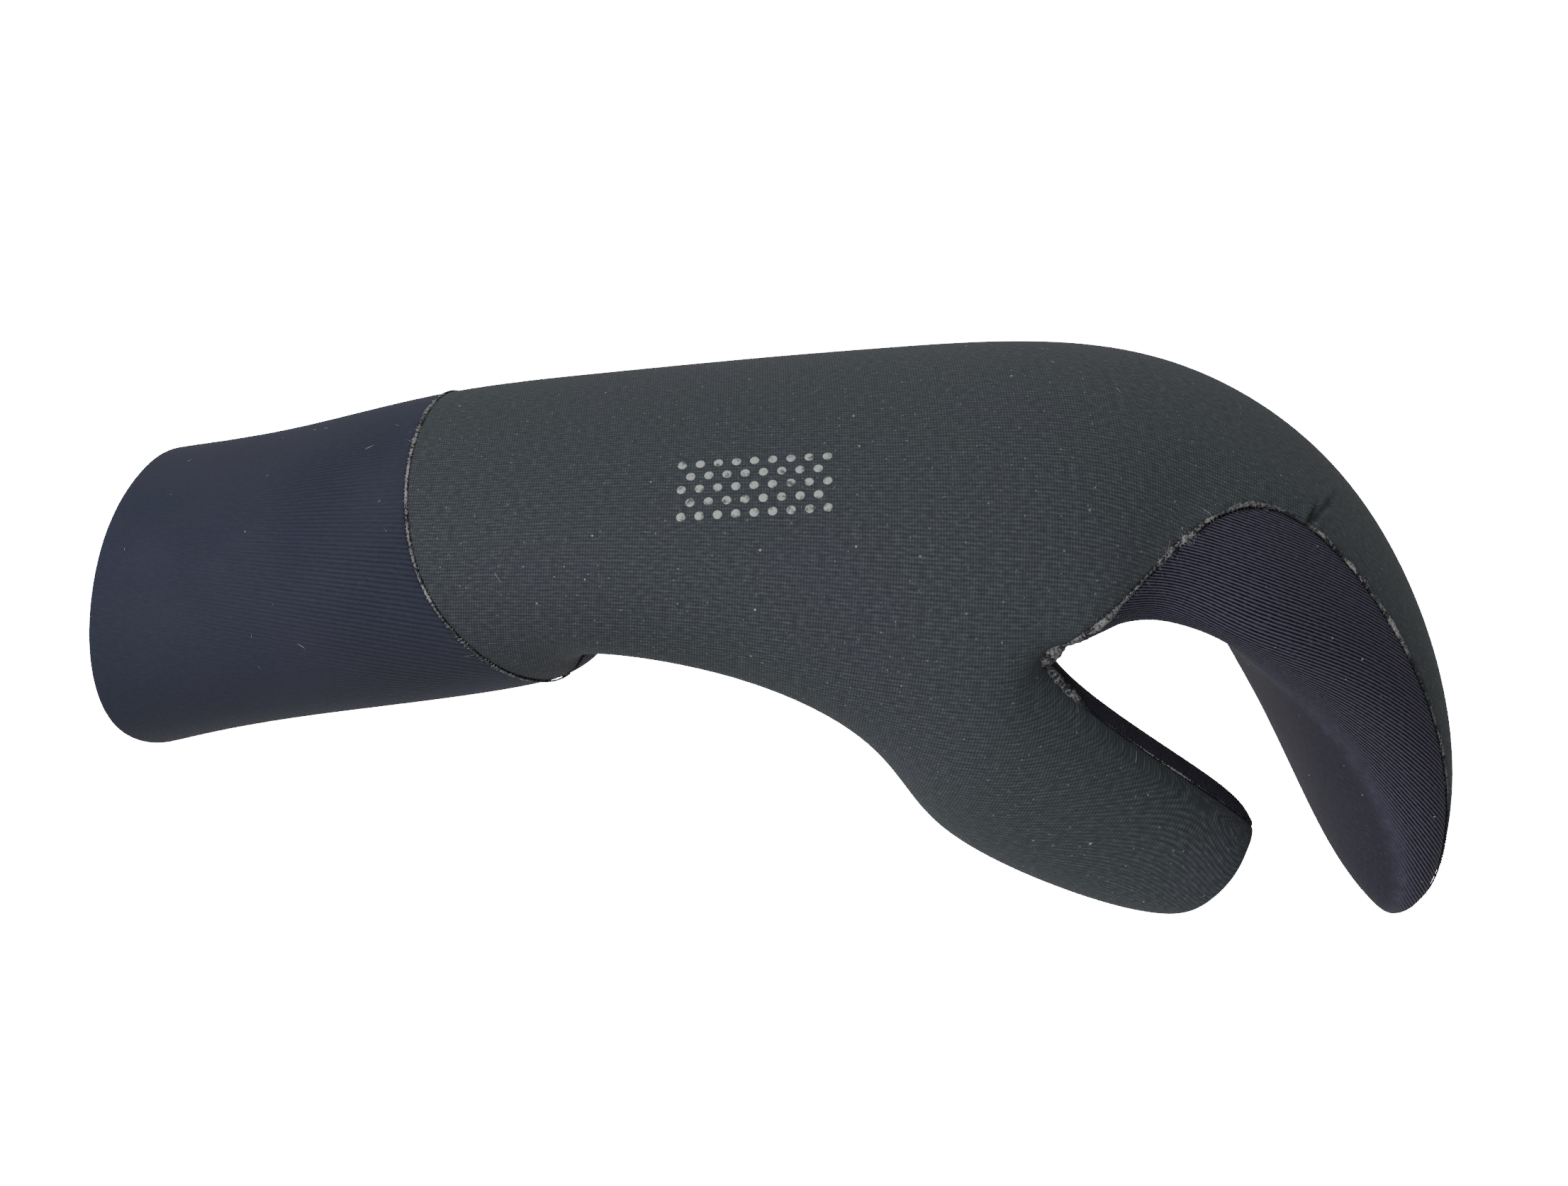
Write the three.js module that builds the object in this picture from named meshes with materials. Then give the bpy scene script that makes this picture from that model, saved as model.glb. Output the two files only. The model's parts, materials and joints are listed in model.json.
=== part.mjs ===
import * as THREE from 'three';

// Palmless mitten for the left hand, in the half-closed shape of a hand round a pole: a tubular cuff, a
// back panel that also wraps the thumb, and a ribbed palm panel with the palm left open.
// Millimetres. +X runs from the cuff to the knuckles, +Y to the little finger, +Z out of the back of the
// hand. The origin is the centre of the cuff's mouth, where the hand goes in.

// Driving dimensions
const cuffLength = 54;
const cuffWidth = 72;
const cuffDepth = 53;
const handLength = 111;
const handWidth = 94;
const handDepth = 50;
const fingerLength = 120;
const fingerWidth = 92;
const fingerDepth = 34;
const thumbLength = 93;
const thumbBreadth = 33;
const thumbDepth = 27;
const cuffWall = 2.5;
const backWall = 3;
const palmWall = 2.5;
const seamGap = 0.3;

// Smoothness of the sewn surface
const subdivisions = 2;
const settlingPasses = 3;

const cuffSizes = { length: cuffLength, width: cuffWidth, depth: cuffDepth };
const handSizes = { length: handLength, width: handWidth, depth: handDepth };
const fingerSizes = { length: fingerLength, width: fingerWidth, depth: fingerDepth };

// Gives each value in a table's rows the name of its column
function table(columnNames, rows) {
  return rows.map((row) => Object.fromEntries(row.map((value, i) => [columnNames[i], value])));
}

// One row for each section, from the cuff's mouth to the fingertips. step is the way from the section
// before, heading its direction and tilt the section's own lean, both in degrees below +X. turn is how many
// degrees the little finger's edge leads. thumbSide and littleSide are half widths, back and palm half
// depths, drop how far the little finger's edge hangs and hollow how deep the palm side is drawn in. curl
// says how far the columns have moved from their places on the hand to those on the fingers, and fall how
// many degrees the index seam sinks from there, or rises where it is negative. Lengths are shares of the
// row's own sizes.
const sections = table(
  ['of', 'step', 'heading', 'tilt', 'turn', 'thumbSide', 'littleSide', 'back', 'palm', 'drop', 'hollow',
    'curl', 'fall'],
  [
    [cuffSizes, 0, 0, -6, 7, 0.49, 0.49, 0.49, 0.48, 0, 0, 0, 0],
    [cuffSizes, 0.5, -10, -8, 3, 0.475, 0.475, 0.49, 0.45, 0, 0, 0, 0],
    [cuffSizes, 0.5, -12.5, -6, 0, 0.49, 0.49, 0.51, 0.45, 0, 0, 0, 0],
    [handSizes, 0.27, -9, -2, 0, 0.41, 0.43, 0.5, 0.33, 0, 0, 0, 0],
    [handSizes, 0.24, -5, 0, 0, 0.45, 0.47, 0.51, 0.3, 0.05, 0, 0, 0],
    [handSizes, 0.25, -3, 0, 0, 0.48, 0.5, 0.53, 0.3, 0.1, 0, 0.1, 0],
    [handSizes, 0.26, -2, 0, -3, 0.49, 0.5, 0.54, 0.23, 0.12, 0, 0.2, -5],
    [fingerSizes, 0.19, 2, 14, -2, 0.49, 0.5, 0.66, 0.3, 0.18, 0, 1, -9],
    [fingerSizes, 0.2, 25, 38, -4, 0.49, 0.49, 0.5, 0.62, 0.22, 0.05, 1, 4],
    [fingerSizes, 0.22, 53, 63, -6, 0.48, 0.47, 0.36, 0.69, 0.2, 0.08, 1, 20],
    [fingerSizes, 0.2, 78, 84, -8, 0.44, 0.42, 0.26, 0.49, 0.1, 0.06, 1, 20],
    [fingerSizes, 0.085, 92, 94, -9, 0.36, 0.34, 0.17, 0.18, 0, 0, 1, 20],
  ],
);

// One row for each column of the surface, in degrees from the back round by the thumb, on the hand and on
// the fingers at the knuckles. follows is how far it sinks with the index seam, and cuffSeam how far the
// cuff's seam lies ahead of its section there, as a share of cuffLength.
const columns = table(
  ['onHand', 'onFingers', 'follows', 'cuffSeam'],
  [
    [5, -11, 0, 0.01],
    [36, 10, 0.3, -0.01],
    [72, 30, 0.65, 0.05],
    [109, 50, 1, 0.23],
    [147, 84, 0.6, 0.36],
    [168, 117, 0.2, 0.38],
    [190, 150, 0, 0.36],
    [216, 183, 0, 0.3],
    [240, 216, 0, 0.22],
    [264, 254, 0, 0.14],
    [292, 300, 0, 0.09],
    [332, 327, 0, 0.05],
  ],
);

// Places on the grid of sections and columns
const cuffSeamRow = 2;
const thumbRows = [3, 6];
const thumbColumns = [2, 4];
const openingRows = [3, 6];
const openingColumns = [5, 8];
const indexSeamColumn = 3;
const littleSeamColumn = 10;

// One row for each section of the thumb, from its root to its tip. step is a share of thumbLength, heading
// its direction and tilt the section's own lean in degrees below +X, and outward its direction in degrees
// towards the thumb's side. crotchSide and wristSide are shares of thumbBreadth, back and palm of thumbDepth.
const thumbSections = table(
  ['step', 'heading', 'tilt', 'outward', 'crotchSide', 'wristSide', 'back', 'palm'],
  [
    [0.24, 31, 66, 8, 0.58, 0.59, 0.48, 0.5],
    [0.21, 45, 44, 5, 0.47, 0.63, 0.5, 0.5],
    [0.345, 37, 38, -2, 0.44, 0.48, 0.48, 0.48],
    [0.12, 33, 37, -5, 0.37, 0.33, 0.36, 0.36],
  ],
);

// Degrees round the thumb from the wrist side of its back, one for each column of its surface
const thumbAngles = [-54, -18, 18, 46, 74, 118, 158, 198, 234, 270];
const thumbSeamColumns = [4, 8];

const radians = THREE.MathUtils.degToRad;

// The direction that lies below +X by the given angle, in the upright plane of the hand
function headingOf(degrees) {
  return new THREE.Vector3(Math.cos(radians(degrees)), 0, -Math.sin(radians(degrees)));
}

// The same direction swung out towards the thumb's side
function outwardHeading(degrees, outward) {
  const direction = headingOf(degrees).multiplyScalar(Math.cos(radians(outward)));
  direction.y = -Math.sin(radians(outward));
  return direction;
}

// The centre of each section, found by walking from the cuff's mouth
function sectionCentres() {
  const centre = new THREE.Vector3();
  return sections.map(({ of, step, heading }) => {
    centre.addScaledVector(headingOf(heading), step * of.length);
    return centre.clone();
  });
}

// A point of one section at one column
function sectionPoint(row, column, centre) {
  const { of, tilt, turn, thumbSide, littleSide, back, palm, drop, hollow, curl, fall } = sections[row];
  const { onHand, onFingers, follows, cuffSeam } = columns[column];
  const nearest = onFingers - onHand < -180 ? onFingers + 360 : onFingers;
  const angle = radians(THREE.MathUtils.lerp(onHand, nearest, curl) + fall * follows);
  const ahead = headingOf(tilt);
  const outOfBack = headingOf(tilt - 90);
  const toLittle = ahead.clone().multiplyScalar(Math.sin(radians(turn)));
  toLittle.y = Math.cos(radians(turn));
  const across = -Math.sin(angle) * (Math.sin(angle) > 0 ? thumbSide : littleSide);
  const rise = Math.cos(angle) * (Math.cos(angle) > 0 ? back : palm);
  const littleShare = Math.max(0, across) / littleSide;
  const palmShare = Math.max(0, -Math.cos(angle));
  const height = rise - drop * littleShare ** 2 + hollow * palmShare ** 2;
  const seamShift = row === cuffSeamRow ? cuffSeam * cuffLength : 0;
  return centre.clone()
    .addScaledVector(outOfBack, height * of.depth)
    .addScaledVector(toLittle, across * of.width)
    .addScaledVector(ahead, seamShift);
}

// A thumb section's points, round the thumb from the wrist side of its back
function thumbRing(section, centre) {
  const { tilt, outward, crotchSide, wristSide, back, palm } = section;
  const toCrotch = headingOf(tilt - 90);
  const toBack = new THREE.Vector3().crossVectors(outwardHeading(tilt, outward), toCrotch);
  return thumbAngles.map((degrees) => {
    const angle = radians(degrees);
    const breadth = Math.sin(angle) * (Math.sin(angle) > 0 ? crotchSide : wristSide) * thumbBreadth;
    const depth = Math.cos(angle) * (Math.cos(angle) > 0 ? back : palm) * thumbDepth;
    return centre.clone().addScaledVector(toCrotch, breadth).addScaledVector(toBack, depth);
  });
}

function isBetween(value, [low, high]) {
  return value >= low && value < high;
}

// The control cage: points, and four-cornered faces that each belong to a piece
function makeCage() {
  const points = [];
  const faces = [];
  const centres = sectionCentres();
  const count = columns.length;
  const addPoint = (point) => points.push(point) - 1;
  const addFace = (piece, ...corners) => faces.push({ piece, corners });

  const grid = sections.map((section, row) =>
    columns.map((_, column) => addPoint(sectionPoint(row, column, centres[row]))));
  const pieceOf = (row, column) => {
    if (row < cuffSeamRow) return 'cuff';
    const behindThumb = row < thumbRows[0] && column < thumbColumns[1];
    const isPalm = isBetween(column, [indexSeamColumn, littleSeamColumn]) && !behindThumb;
    return isPalm ? 'palm_panel' : 'back_panel';
  };
  for (let row = 0; row < sections.length - 1; row++) {
    for (let column = 0; column < count; column++) {
      const inThumb = isBetween(row, thumbRows) && isBetween(column, thumbColumns);
      const inOpening = isBetween(row, openingRows) && isBetween(column, openingColumns);
      if (inThumb || inOpening) continue;
      const here = grid[row];
      const ahead = grid[row + 1];
      const next = (column + 1) % count;
      addFace(pieceOf(row, column), here[column], here[next], ahead[next], ahead[column]);
    }
  }

  // Fingertips: the last section's back edge is joined to its palm edge
  const last = grid.at(-1);
  for (let pair = 0; pair < count / 2 - 1; pair++) {
    const backHere = (indexSeamColumn - pair + count) % count;
    const backNext = (backHere - 1 + count) % count;
    const palmHere = indexSeamColumn + 1 + pair;
    addFace('palm_panel', last[backHere], last[palmHere], last[palmHere + 1], last[backNext]);
  }

  // Thumb: it grows from the rim of the hole left in the hand
  const [firstRow, lastRow] = thumbRows;
  const [firstColumn, lastColumn] = thumbColumns;
  const rim = [];
  for (let row = firstRow; row <= lastRow; row++) rim.push(grid[row][firstColumn]);
  for (let column = firstColumn + 1; column < lastColumn; column++) rim.push(grid[lastRow][column]);
  for (let row = lastRow; row >= firstRow; row--) rim.push(grid[row][lastColumn]);
  for (let column = lastColumn - 1; column > firstColumn; column--) rim.push(grid[firstRow][column]);

  const centre = new THREE.Vector3();
  rim.forEach((index) => centre.addScaledVector(points[index], 1 / rim.length));
  const onPalm = (column) => isBetween(column, thumbSeamColumns);
  let before = rim;
  for (const section of thumbSections) {
    centre.addScaledVector(outwardHeading(section.heading, section.outward), section.step * thumbLength);
    const ring = thumbRing(section, centre).map(addPoint);
    ring.forEach((corner, column) => {
      const next = (column + 1) % ring.length;
      const piece = onPalm(column) ? 'palm_panel' : 'back_panel';
      addFace(piece, before[next], before[column], corner, ring[next]);
    });
    before = ring;
  }
  for (let pair = 0; pair < before.length / 2 - 1; pair++) {
    const other = before.length - 1 - pair;
    addFace('back_panel', before[pair + 1], before[pair], before[other], before[other - 1]);
  }
  return withoutLoosePoints({ points, faces });
}

// The same mesh without the points that no face uses
function withoutLoosePoints({ points, faces }) {
  const kept = [...new Set(faces.flatMap(({ corners }) => corners))];
  const place = new Map(kept.map((index, order) => [index, order]));
  return {
    points: kept.map((index) => points[index]),
    faces: faces.map(({ piece, corners }) => ({ piece, corners: corners.map((index) => place.get(index)) })),
  };
}

const edgeKey = (a, b) => (a < b ? `${a}_${b}` : `${b}_${a}`);

// The edges of a mesh, each with its two ends and the faces that meet there
function edgesOf({ faces }) {
  const edges = new Map();
  faces.forEach(({ corners }, face) => {
    corners.forEach((a, i) => {
      const b = corners[(i + 1) % corners.length];
      const key = edgeKey(a, b);
      if (!edges.has(key)) edges.set(key, { ends: [a, b], faces: [] });
      edges.get(key).faces.push(face);
    });
  });
  return edges;
}

function average(list) {
  const sum = new THREE.Vector3();
  list.forEach((point) => sum.add(point));
  return sum.divideScalar(list.length);
}

// For each point: its neighbours along edges, those along open edges, and the faces round it
function surroundings(mesh, edges) {
  const around = mesh.points.map(() => ({ neighbours: [], open: [], faces: [] }));
  for (const { ends: [a, b], faces } of edges.values()) {
    around[a].neighbours.push(b);
    around[b].neighbours.push(a);
    if (faces.length === 1) {
      around[a].open.push(b);
      around[b].open.push(a);
    }
  }
  mesh.faces.forEach(({ corners }, face) => {
    corners.forEach((corner) => around[corner].faces.push(face));
  });
  return around;
}

// Where each point of a cage comes to lie on the smooth surface that the cage stands for
function limitPoints(mesh, around) {
  return mesh.points.map((point, index) => {
    const { neighbours, open, faces } = around[index];
    if (open.length) {
      const ends = open.map((other) => mesh.points[other]);
      return point.clone().multiplyScalar(4).add(ends[0]).add(ends[1]).divideScalar(6);
    }
    const n = faces.length;
    const sum = point.clone().multiplyScalar(n * n);
    neighbours.forEach((other) => sum.addScaledVector(mesh.points[other], 4));
    faces.forEach((face) => {
      const { corners } = mesh.faces[face];
      sum.add(mesh.points[corners[(corners.indexOf(index) + 2) % corners.length]]);
    });
    return sum.divideScalar(n * (n + 5));
  });
}

// Moves a cage's points out until the smooth surface passes through their old places. The corners of the
// open palm are left where they are, so that they round off.
function settle(mesh) {
  const around = surroundings(mesh, edgesOf(mesh));
  const targets = mesh.points.map((point) => point.clone());
  const isCorner = ({ open, faces }) => open.length > 0 && faces.length > 2;
  for (let pass = 0; pass < settlingPasses; pass++) {
    limitPoints(mesh, around).forEach((limit, index) => {
      if (!isCorner(around[index])) mesh.points[index].add(targets[index]).sub(limit);
    });
  }
  return mesh;
}

// One round of Catmull-Clark subdivision
function subdivide(mesh) {
  const edges = edgesOf(mesh);
  const around = surroundings(mesh, edges);
  const facePoints = mesh.faces.map(({ corners }) => average(corners.map((corner) => mesh.points[corner])));
  const midpoint = ([a, b]) => mesh.points[a].clone().lerp(mesh.points[b], 0.5);
  const points = mesh.points.map((point, index) => {
    const { neighbours, open, faces } = around[index];
    if (open.length) {
      const ends = open.map((other) => mesh.points[other]);
      return point.clone().multiplyScalar(6).add(ends[0]).add(ends[1]).divideScalar(8);
    }
    const n = faces.length;
    const faceMean = average(faces.map((face) => facePoints[face]));
    const edgeMean = average(neighbours.map((other) => midpoint([index, other])));
    return faceMean.addScaledVector(edgeMean, 2).addScaledVector(point, n - 3).divideScalar(n);
  });
  const faceIndex = facePoints.map((point) => points.push(point) - 1);
  const edgeIndex = new Map();
  for (const [key, { ends, faces }] of edges) {
    const middle = midpoint(ends);
    if (faces.length === 2) middle.lerp(average(faces.map((face) => facePoints[face])), 0.5);
    edgeIndex.set(key, points.push(middle) - 1);
  }
  const faces = mesh.faces.flatMap(({ piece, corners }, face) => corners.map((corner, i) => {
    const after = edgeIndex.get(edgeKey(corner, corners[(i + 1) % corners.length]));
    const before = edgeIndex.get(edgeKey(corner, corners.at(i - 1)));
    return { piece, corners: [corner, after, faceIndex[face], before] };
  }));
  return { points, faces };
}

// The outward normal at each point, averaged over the faces round it
function normalsOf({ points, faces }) {
  const normals = points.map(() => new THREE.Vector3());
  for (const { corners } of faces) {
    const [a, b, c, d] = corners.map((corner) => points[corner]);
    const normal = c.clone().sub(a).cross(d.clone().sub(b));
    corners.forEach((corner) => normals[corner].add(normal));
  }
  return normals.map((normal) => normal.normalize());
}

// The closed wall of one piece: its faces, the same faces one wall further in, and a rim that joins them.
// Where the piece meets another, its edge stands back by half the seam's gap, and both rims are split along
// the same diagonals.
function wallGeometry(surface, normals, piece, thickness) {
  const faces = surface.faces.filter((face) => face.piece === piece);
  const shared = edgesOf(surface);
  const rims = [...edgesOf({ faces }).values()].filter((edge) => edge.faces.length === 1);
  const setBack = new Map();
  for (const { ends, faces: [face] } of rims) {
    if (shared.get(edgeKey(...ends)).faces.length === 1) continue;
    const [a, b] = ends.map((end) => surface.points[end]);
    const inward = average(faces[face].corners.map((corner) => surface.points[corner])).sub(a);
    const along = b.clone().sub(a).normalize();
    inward.addScaledVector(along, -inward.dot(along)).normalize();
    ends.forEach((end) => setBack.set(end, (setBack.get(end) ?? new THREE.Vector3()).add(inward)));
  }
  const order = new Map();
  const coordinates = [];
  const place = (index) => {
    if (!order.has(index)) {
      const outer = surface.points[index].clone();
      if (setBack.has(index)) outer.addScaledVector(setBack.get(index).normalize(), seamGap / 2);
      const inner = outer.clone().addScaledVector(normals[index], -thickness);
      order.set(index, order.size);
      coordinates.push(...outer, ...inner);
    }
    return 2 * order.get(index);
  };
  const triangles = [];
  for (const { corners } of faces) {
    const [a, b, c, d] = corners.map(place);
    triangles.push(a, b, c, a, c, d);
    triangles.push(a + 1, c + 1, b + 1, a + 1, d + 1, c + 1);
  }
  for (const { ends, faces: [face] } of rims) {
    const { corners } = faces[face];
    const forward = corners[(corners.indexOf(ends[0]) + 1) % corners.length] === ends[1];
    const [start, end] = forward ? ends : [...ends].reverse();
    const [a, b] = [start, end].map(place);
    if (start < end) triangles.push(b, a, b + 1, a, a + 1, b + 1);
    else triangles.push(b, a, a + 1, b, a + 1, b + 1);
  }
  const geometry = new THREE.BufferGeometry();
  geometry.setAttribute('position', new THREE.Float32BufferAttribute(coordinates, 3));
  geometry.setIndex(triangles);
  geometry.computeVertexNormals();
  return geometry;
}

const pieces = [
  { name: 'cuff', wall: cuffWall, color: 0x23232f, roughness: 0.85 },
  { name: 'back_panel', wall: backWall, color: 0x2a2f32, roughness: 0.9 },
  { name: 'palm_panel', wall: palmWall, color: 0x26222f, roughness: 0.85 },
];

let surface = settle(makeCage());
for (let round = 0; round < subdivisions; round++) surface = subdivide(surface);
const normals = normalsOf(surface);

const mitten = new THREE.Group();
for (const { name, wall, color, roughness } of pieces) {
  const material = new THREE.MeshStandardMaterial({ color, roughness, metalness: 0 });
  const mesh = new THREE.Mesh(wallGeometry(surface, normals, name, wall), material);
  mesh.name = name;
  mitten.add(mesh);
}

export default mitten;
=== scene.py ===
import json
import math
import random

import bmesh
import bpy
import numpy as np
from bpy.props import FloatProperty, FloatVectorProperty, IntProperty, PointerProperty
from mathutils import Matrix, Vector
from mathutils.bvhtree import BVHTree
from mathutils.kdtree import KDTree

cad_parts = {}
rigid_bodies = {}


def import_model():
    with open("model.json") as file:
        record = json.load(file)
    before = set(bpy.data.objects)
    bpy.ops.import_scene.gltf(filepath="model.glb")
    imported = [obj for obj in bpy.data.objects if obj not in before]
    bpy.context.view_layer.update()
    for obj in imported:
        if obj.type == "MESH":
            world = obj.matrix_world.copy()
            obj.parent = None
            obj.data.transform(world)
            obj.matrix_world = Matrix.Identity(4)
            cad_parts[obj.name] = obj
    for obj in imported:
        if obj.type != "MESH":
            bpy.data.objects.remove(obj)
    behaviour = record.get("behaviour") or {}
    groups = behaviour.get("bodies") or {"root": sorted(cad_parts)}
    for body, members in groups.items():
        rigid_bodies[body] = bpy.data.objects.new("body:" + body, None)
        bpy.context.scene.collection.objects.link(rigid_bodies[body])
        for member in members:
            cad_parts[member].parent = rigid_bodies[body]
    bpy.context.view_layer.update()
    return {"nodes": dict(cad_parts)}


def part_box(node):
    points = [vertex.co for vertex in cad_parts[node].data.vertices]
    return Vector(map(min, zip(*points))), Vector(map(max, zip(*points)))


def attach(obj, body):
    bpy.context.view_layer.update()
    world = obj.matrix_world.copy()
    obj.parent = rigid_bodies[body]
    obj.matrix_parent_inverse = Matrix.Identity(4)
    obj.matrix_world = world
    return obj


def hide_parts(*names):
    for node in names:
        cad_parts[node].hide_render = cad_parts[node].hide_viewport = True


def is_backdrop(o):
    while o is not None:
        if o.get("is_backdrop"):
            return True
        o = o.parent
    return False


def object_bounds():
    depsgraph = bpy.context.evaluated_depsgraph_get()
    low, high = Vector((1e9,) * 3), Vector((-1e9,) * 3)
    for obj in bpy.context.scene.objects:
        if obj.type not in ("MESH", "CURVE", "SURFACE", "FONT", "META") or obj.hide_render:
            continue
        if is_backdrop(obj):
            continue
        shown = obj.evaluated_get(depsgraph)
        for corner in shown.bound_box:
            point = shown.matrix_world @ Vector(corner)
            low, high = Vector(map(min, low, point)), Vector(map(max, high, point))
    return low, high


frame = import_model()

bl_info = {
    "name": "Palmless mitten",
    "version": (1, 0, 0),
    "blender": (4, 5, 0),
    "location": "View3D > Sidebar > Mitten",
    "description": "Makes the cloth panels, seams, print, lint and stage of a palmless mitten",
    "category": "Object",
}

MM = 0.001
CLOTH_MAP = "cloth"
PALENESS = "paleness"

# How close points of a CAD node count as one, and the least angle at an edge that is rounded
SAME_POINT_WITHIN = 0.01 * MM
SHARP_EDGE = math.radians(55)

# Laying the cloth flat: the shortest edge that counts, the most rounds, and how close is close enough
SHORTEST_EDGE = 0.05 * MM
FLAT_ROUNDS = 2000
FLAT_ENOUGH = 1e-16

# The fingers' curl, seen from the thumb's side: its centre, and how far from it the fingers' middle lies
CURL_X = 159.5 * MM
CURL_Z = -53 * MM
CURL_MIDDLE = 75 * MM

# The thumb's part of the palm panel: it lies inside the curl, on the thumb's side and below the crotch
THUMB_REACH = 57 * MM
THUMB_START_X = 140 * MM
THUMB_SIDE_Y = -20 * MM
CROTCH_X = 163 * MM
CROTCH_Z = 9 * MM
CROTCH_FALL = 0.4
THUMB_SLOPE = math.radians(38)
THUMB_RIB_SHARE = 0.62

# Where the palm panel's ribs are stretched flat, as distances from the curl's centre
RIBS_WHOLE_ABOVE = 72.5 * MM
RIBS_FLAT_BELOW = 69.5 * MM
RIBS_FLAT_ABOVE = 60 * MM
RIBS_WHOLE_BELOW = 56 * MM

# The soft fold where the ribs end, as distances from the curl's centre. It is paler as a painted highlight
# along its rounded edge.
FOLD_STARTS = 68.3 * MM
FOLD_TOP = 70.3 * MM
FOLD_ENDS = 73 * MM

# The cuff's centre line slopes down from its mouth to the hand, and its width and depth together are this
# many times its middle radius
CUFF_SLOPE = math.radians(11)
CUFF_SIZES_TO_RADIUS = 4.6

# Where the cloths are darker as painted shade or show their ribs, along X or Z: where it starts and where
# it ends. The cuff's painted shade lies towards its underside, the back's towards the fingers and on the
# heel near the wrist.
CUFF_SHADE_Z = (-24 * MM, 20 * MM)
CUFF_RIBS_X = (5 * MM, 45 * MM)
BACK_SHADE_X = (140 * MM, 240 * MM)
HEEL_SHADE_X = (90 * MM, 140 * MM)
HEEL_SHADE_Z = (0, 28 * MM)

# Creases pressed into the back panel beside the index seam: both ends, depth and half width in millimetres
CREASES = [
    ((204.0, -30.3, 30.8), (207.8, -21.3, 31.5), 0.6, 0.5),
    ((205.0, -29.2, 30.9), (214.8, -10.8, 27.7), 0.7, 0.55),
]

# Each crease is straight in two halves that meet on the cloth. They fade towards their far ends, the far
# half is shallower, and the mesh is made finer in two steps beside them. Low banks lie along both sides.
DEEPEST_CREASE = 0.85 * MM
NEAR_HALF_FADE = 0.45
FAR_HALF_FADE = 0.9
FAR_HALF_DEPTH = 0.55
FINER_WITHIN = (5 * MM, 3.5 * MM)
BANK_HEIGHT = 0.35
BANK_PLACE = 2.2
# The painted shade in a crease reaches this many half widths from its line
CREASE_SHADE_WIDTH = 1.3
ABOVE_CLOTH = 6 * MM

# Stretches of the panel seam that look different from the rest: a place on it in millimetres, how far the
# stretch reaches, how pale its thread is, how broad its bead is as a share of the plain one, and how many
# loose ends it has to a millimetre
PLAIN_SEAM = {"paleness": 0.16, "breadth": 0.55, "ends": 0.2}
SEAM_STRETCHES = [
    {"at": (160.3, -43.2, 13.0), "reach": 5, "paleness": 0.5, "breadth": 4.2, "ends": 4},
    {"at": (162.5, -43.5, 7.0), "reach": 8, "paleness": 0.5, "breadth": 2.4, "ends": 4},
    {"at": (166.0, -43.0, 19.5), "reach": 8, "paleness": 0.6, "breadth": 1.7, "ends": 3},
    {"at": (172.0, -40.0, 24.5), "reach": 6, "paleness": 0.6, "breadth": 0.8, "ends": 2.5},
    {"at": (182.0, -36.0, 30.0), "reach": 9, "paleness": 0.75, "breadth": 1.1, "ends": 12},
    {"at": (194.0, -29.5, 32.0), "reach": 7, "paleness": 0.4, "breadth": 1.2, "ends": 7},
    {"at": (206.0, -30.0, 26.5), "reach": 5, "paleness": 0.9, "breadth": 1.15, "ends": 3},
    {"at": (211.3, -32.1, 20.9), "reach": 6, "paleness": 1.0, "breadth": 1.25, "ends": 3},
    {"at": (217.5, -35.0, 12.5), "reach": 7, "paleness": 0.9, "breadth": 1.1, "ends": 2.5},
    {"at": (228.0, -38.5, -10.0), "reach": 14, "paleness": 0.4, "breadth": 0.6, "ends": 0.5},
    {"at": (234.0, -34.0, -47.0), "reach": 8, "paleness": 0.75, "breadth": 0.7, "ends": 0.5},
    {"at": (182.0, -42.8, -10.5), "reach": 8, "paleness": 0.85, "breadth": 0.8, "ends": 1},
]

# A rounded edge strays from the wall by less than this share of its width
STRAY_SHARE = 0.6

# A dark core fills each seam's gap below the bead. It lies this deep in the walls and, on the panel seam,
# this far off the rim that the bead follows. It keeps every third point of the path, and where the path is
# open it runs on past both ends, into the cuff's seam.
CORE_DEPTH = 1.3 * MM
CORE_OFF_RIM = 0.2 * MM
CORE_RADIUS = 0.8 * MM
CORE_THINNING = 3
CORE_OVERRUN = 1.6 * MM

# A bead this broad, as a share of the plain one, keeps its round section, and a narrower one is flatter
ROUND_BREADTH = 3

# Paths of seams: their fine step, the rounds that smooth them and their ways out of the cloth, how close
# the ends of a closed one are, and how far round a point the way out is looked for
PATH_STEP = 0.5 * MM
PATH_ROUNDS = 12
OUT_ROUNDS = 10
CLOSED_WITHIN = 0.1 * MM
OUT_REACH = 1.2 * MM

# A stitch's points as shares of its length and of the bead's height, and how thick it is at each. The same
# for a loose end, along its length.
STITCH_SHAPE = ((-0.5, 0.9), (-0.27, 0.15), (0, 0), (0.27, 0.15), (0.5, 0.9))
STITCH_TAPER = [0.4, 1, 1, 1, 0.4]
END_SHARES = (0, 0.35, 0.7, 1)
END_TAPER = [1, 0.9, 0.7, 0.3]

# How far a rim's faces look for the next panel, and how close to the cuff its own seam covers the rim
LOOK_ACROSS = 0.8 * MM
ON_CUFF_WITHIN = 0.6 * MM

# The cuff's seam lies this far towards the hand from the cuff's own rim
SEAM_SHIFT = 0.25 * MM

# The cuff's seam is paler above this share of its height, in patches about this long; below it the thread
# is darker as painted shade.
PALE_ABOVE = 0.6
PATCH_LENGTH = 2.3 * MM

# The print: where its middle lies on the back panel, the way out of the cloth there, and its rows of dots
PRINT_AT = (110.7 * MM, -27.8 * MM, 37.0 * MM)
PRINT_OUT = (-0.11, -0.45, 0.89)
PRINT_COLUMNS = 9
PRINT_ROWS = 5
ROW_PITCH_SHARE = 0.87

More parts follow.
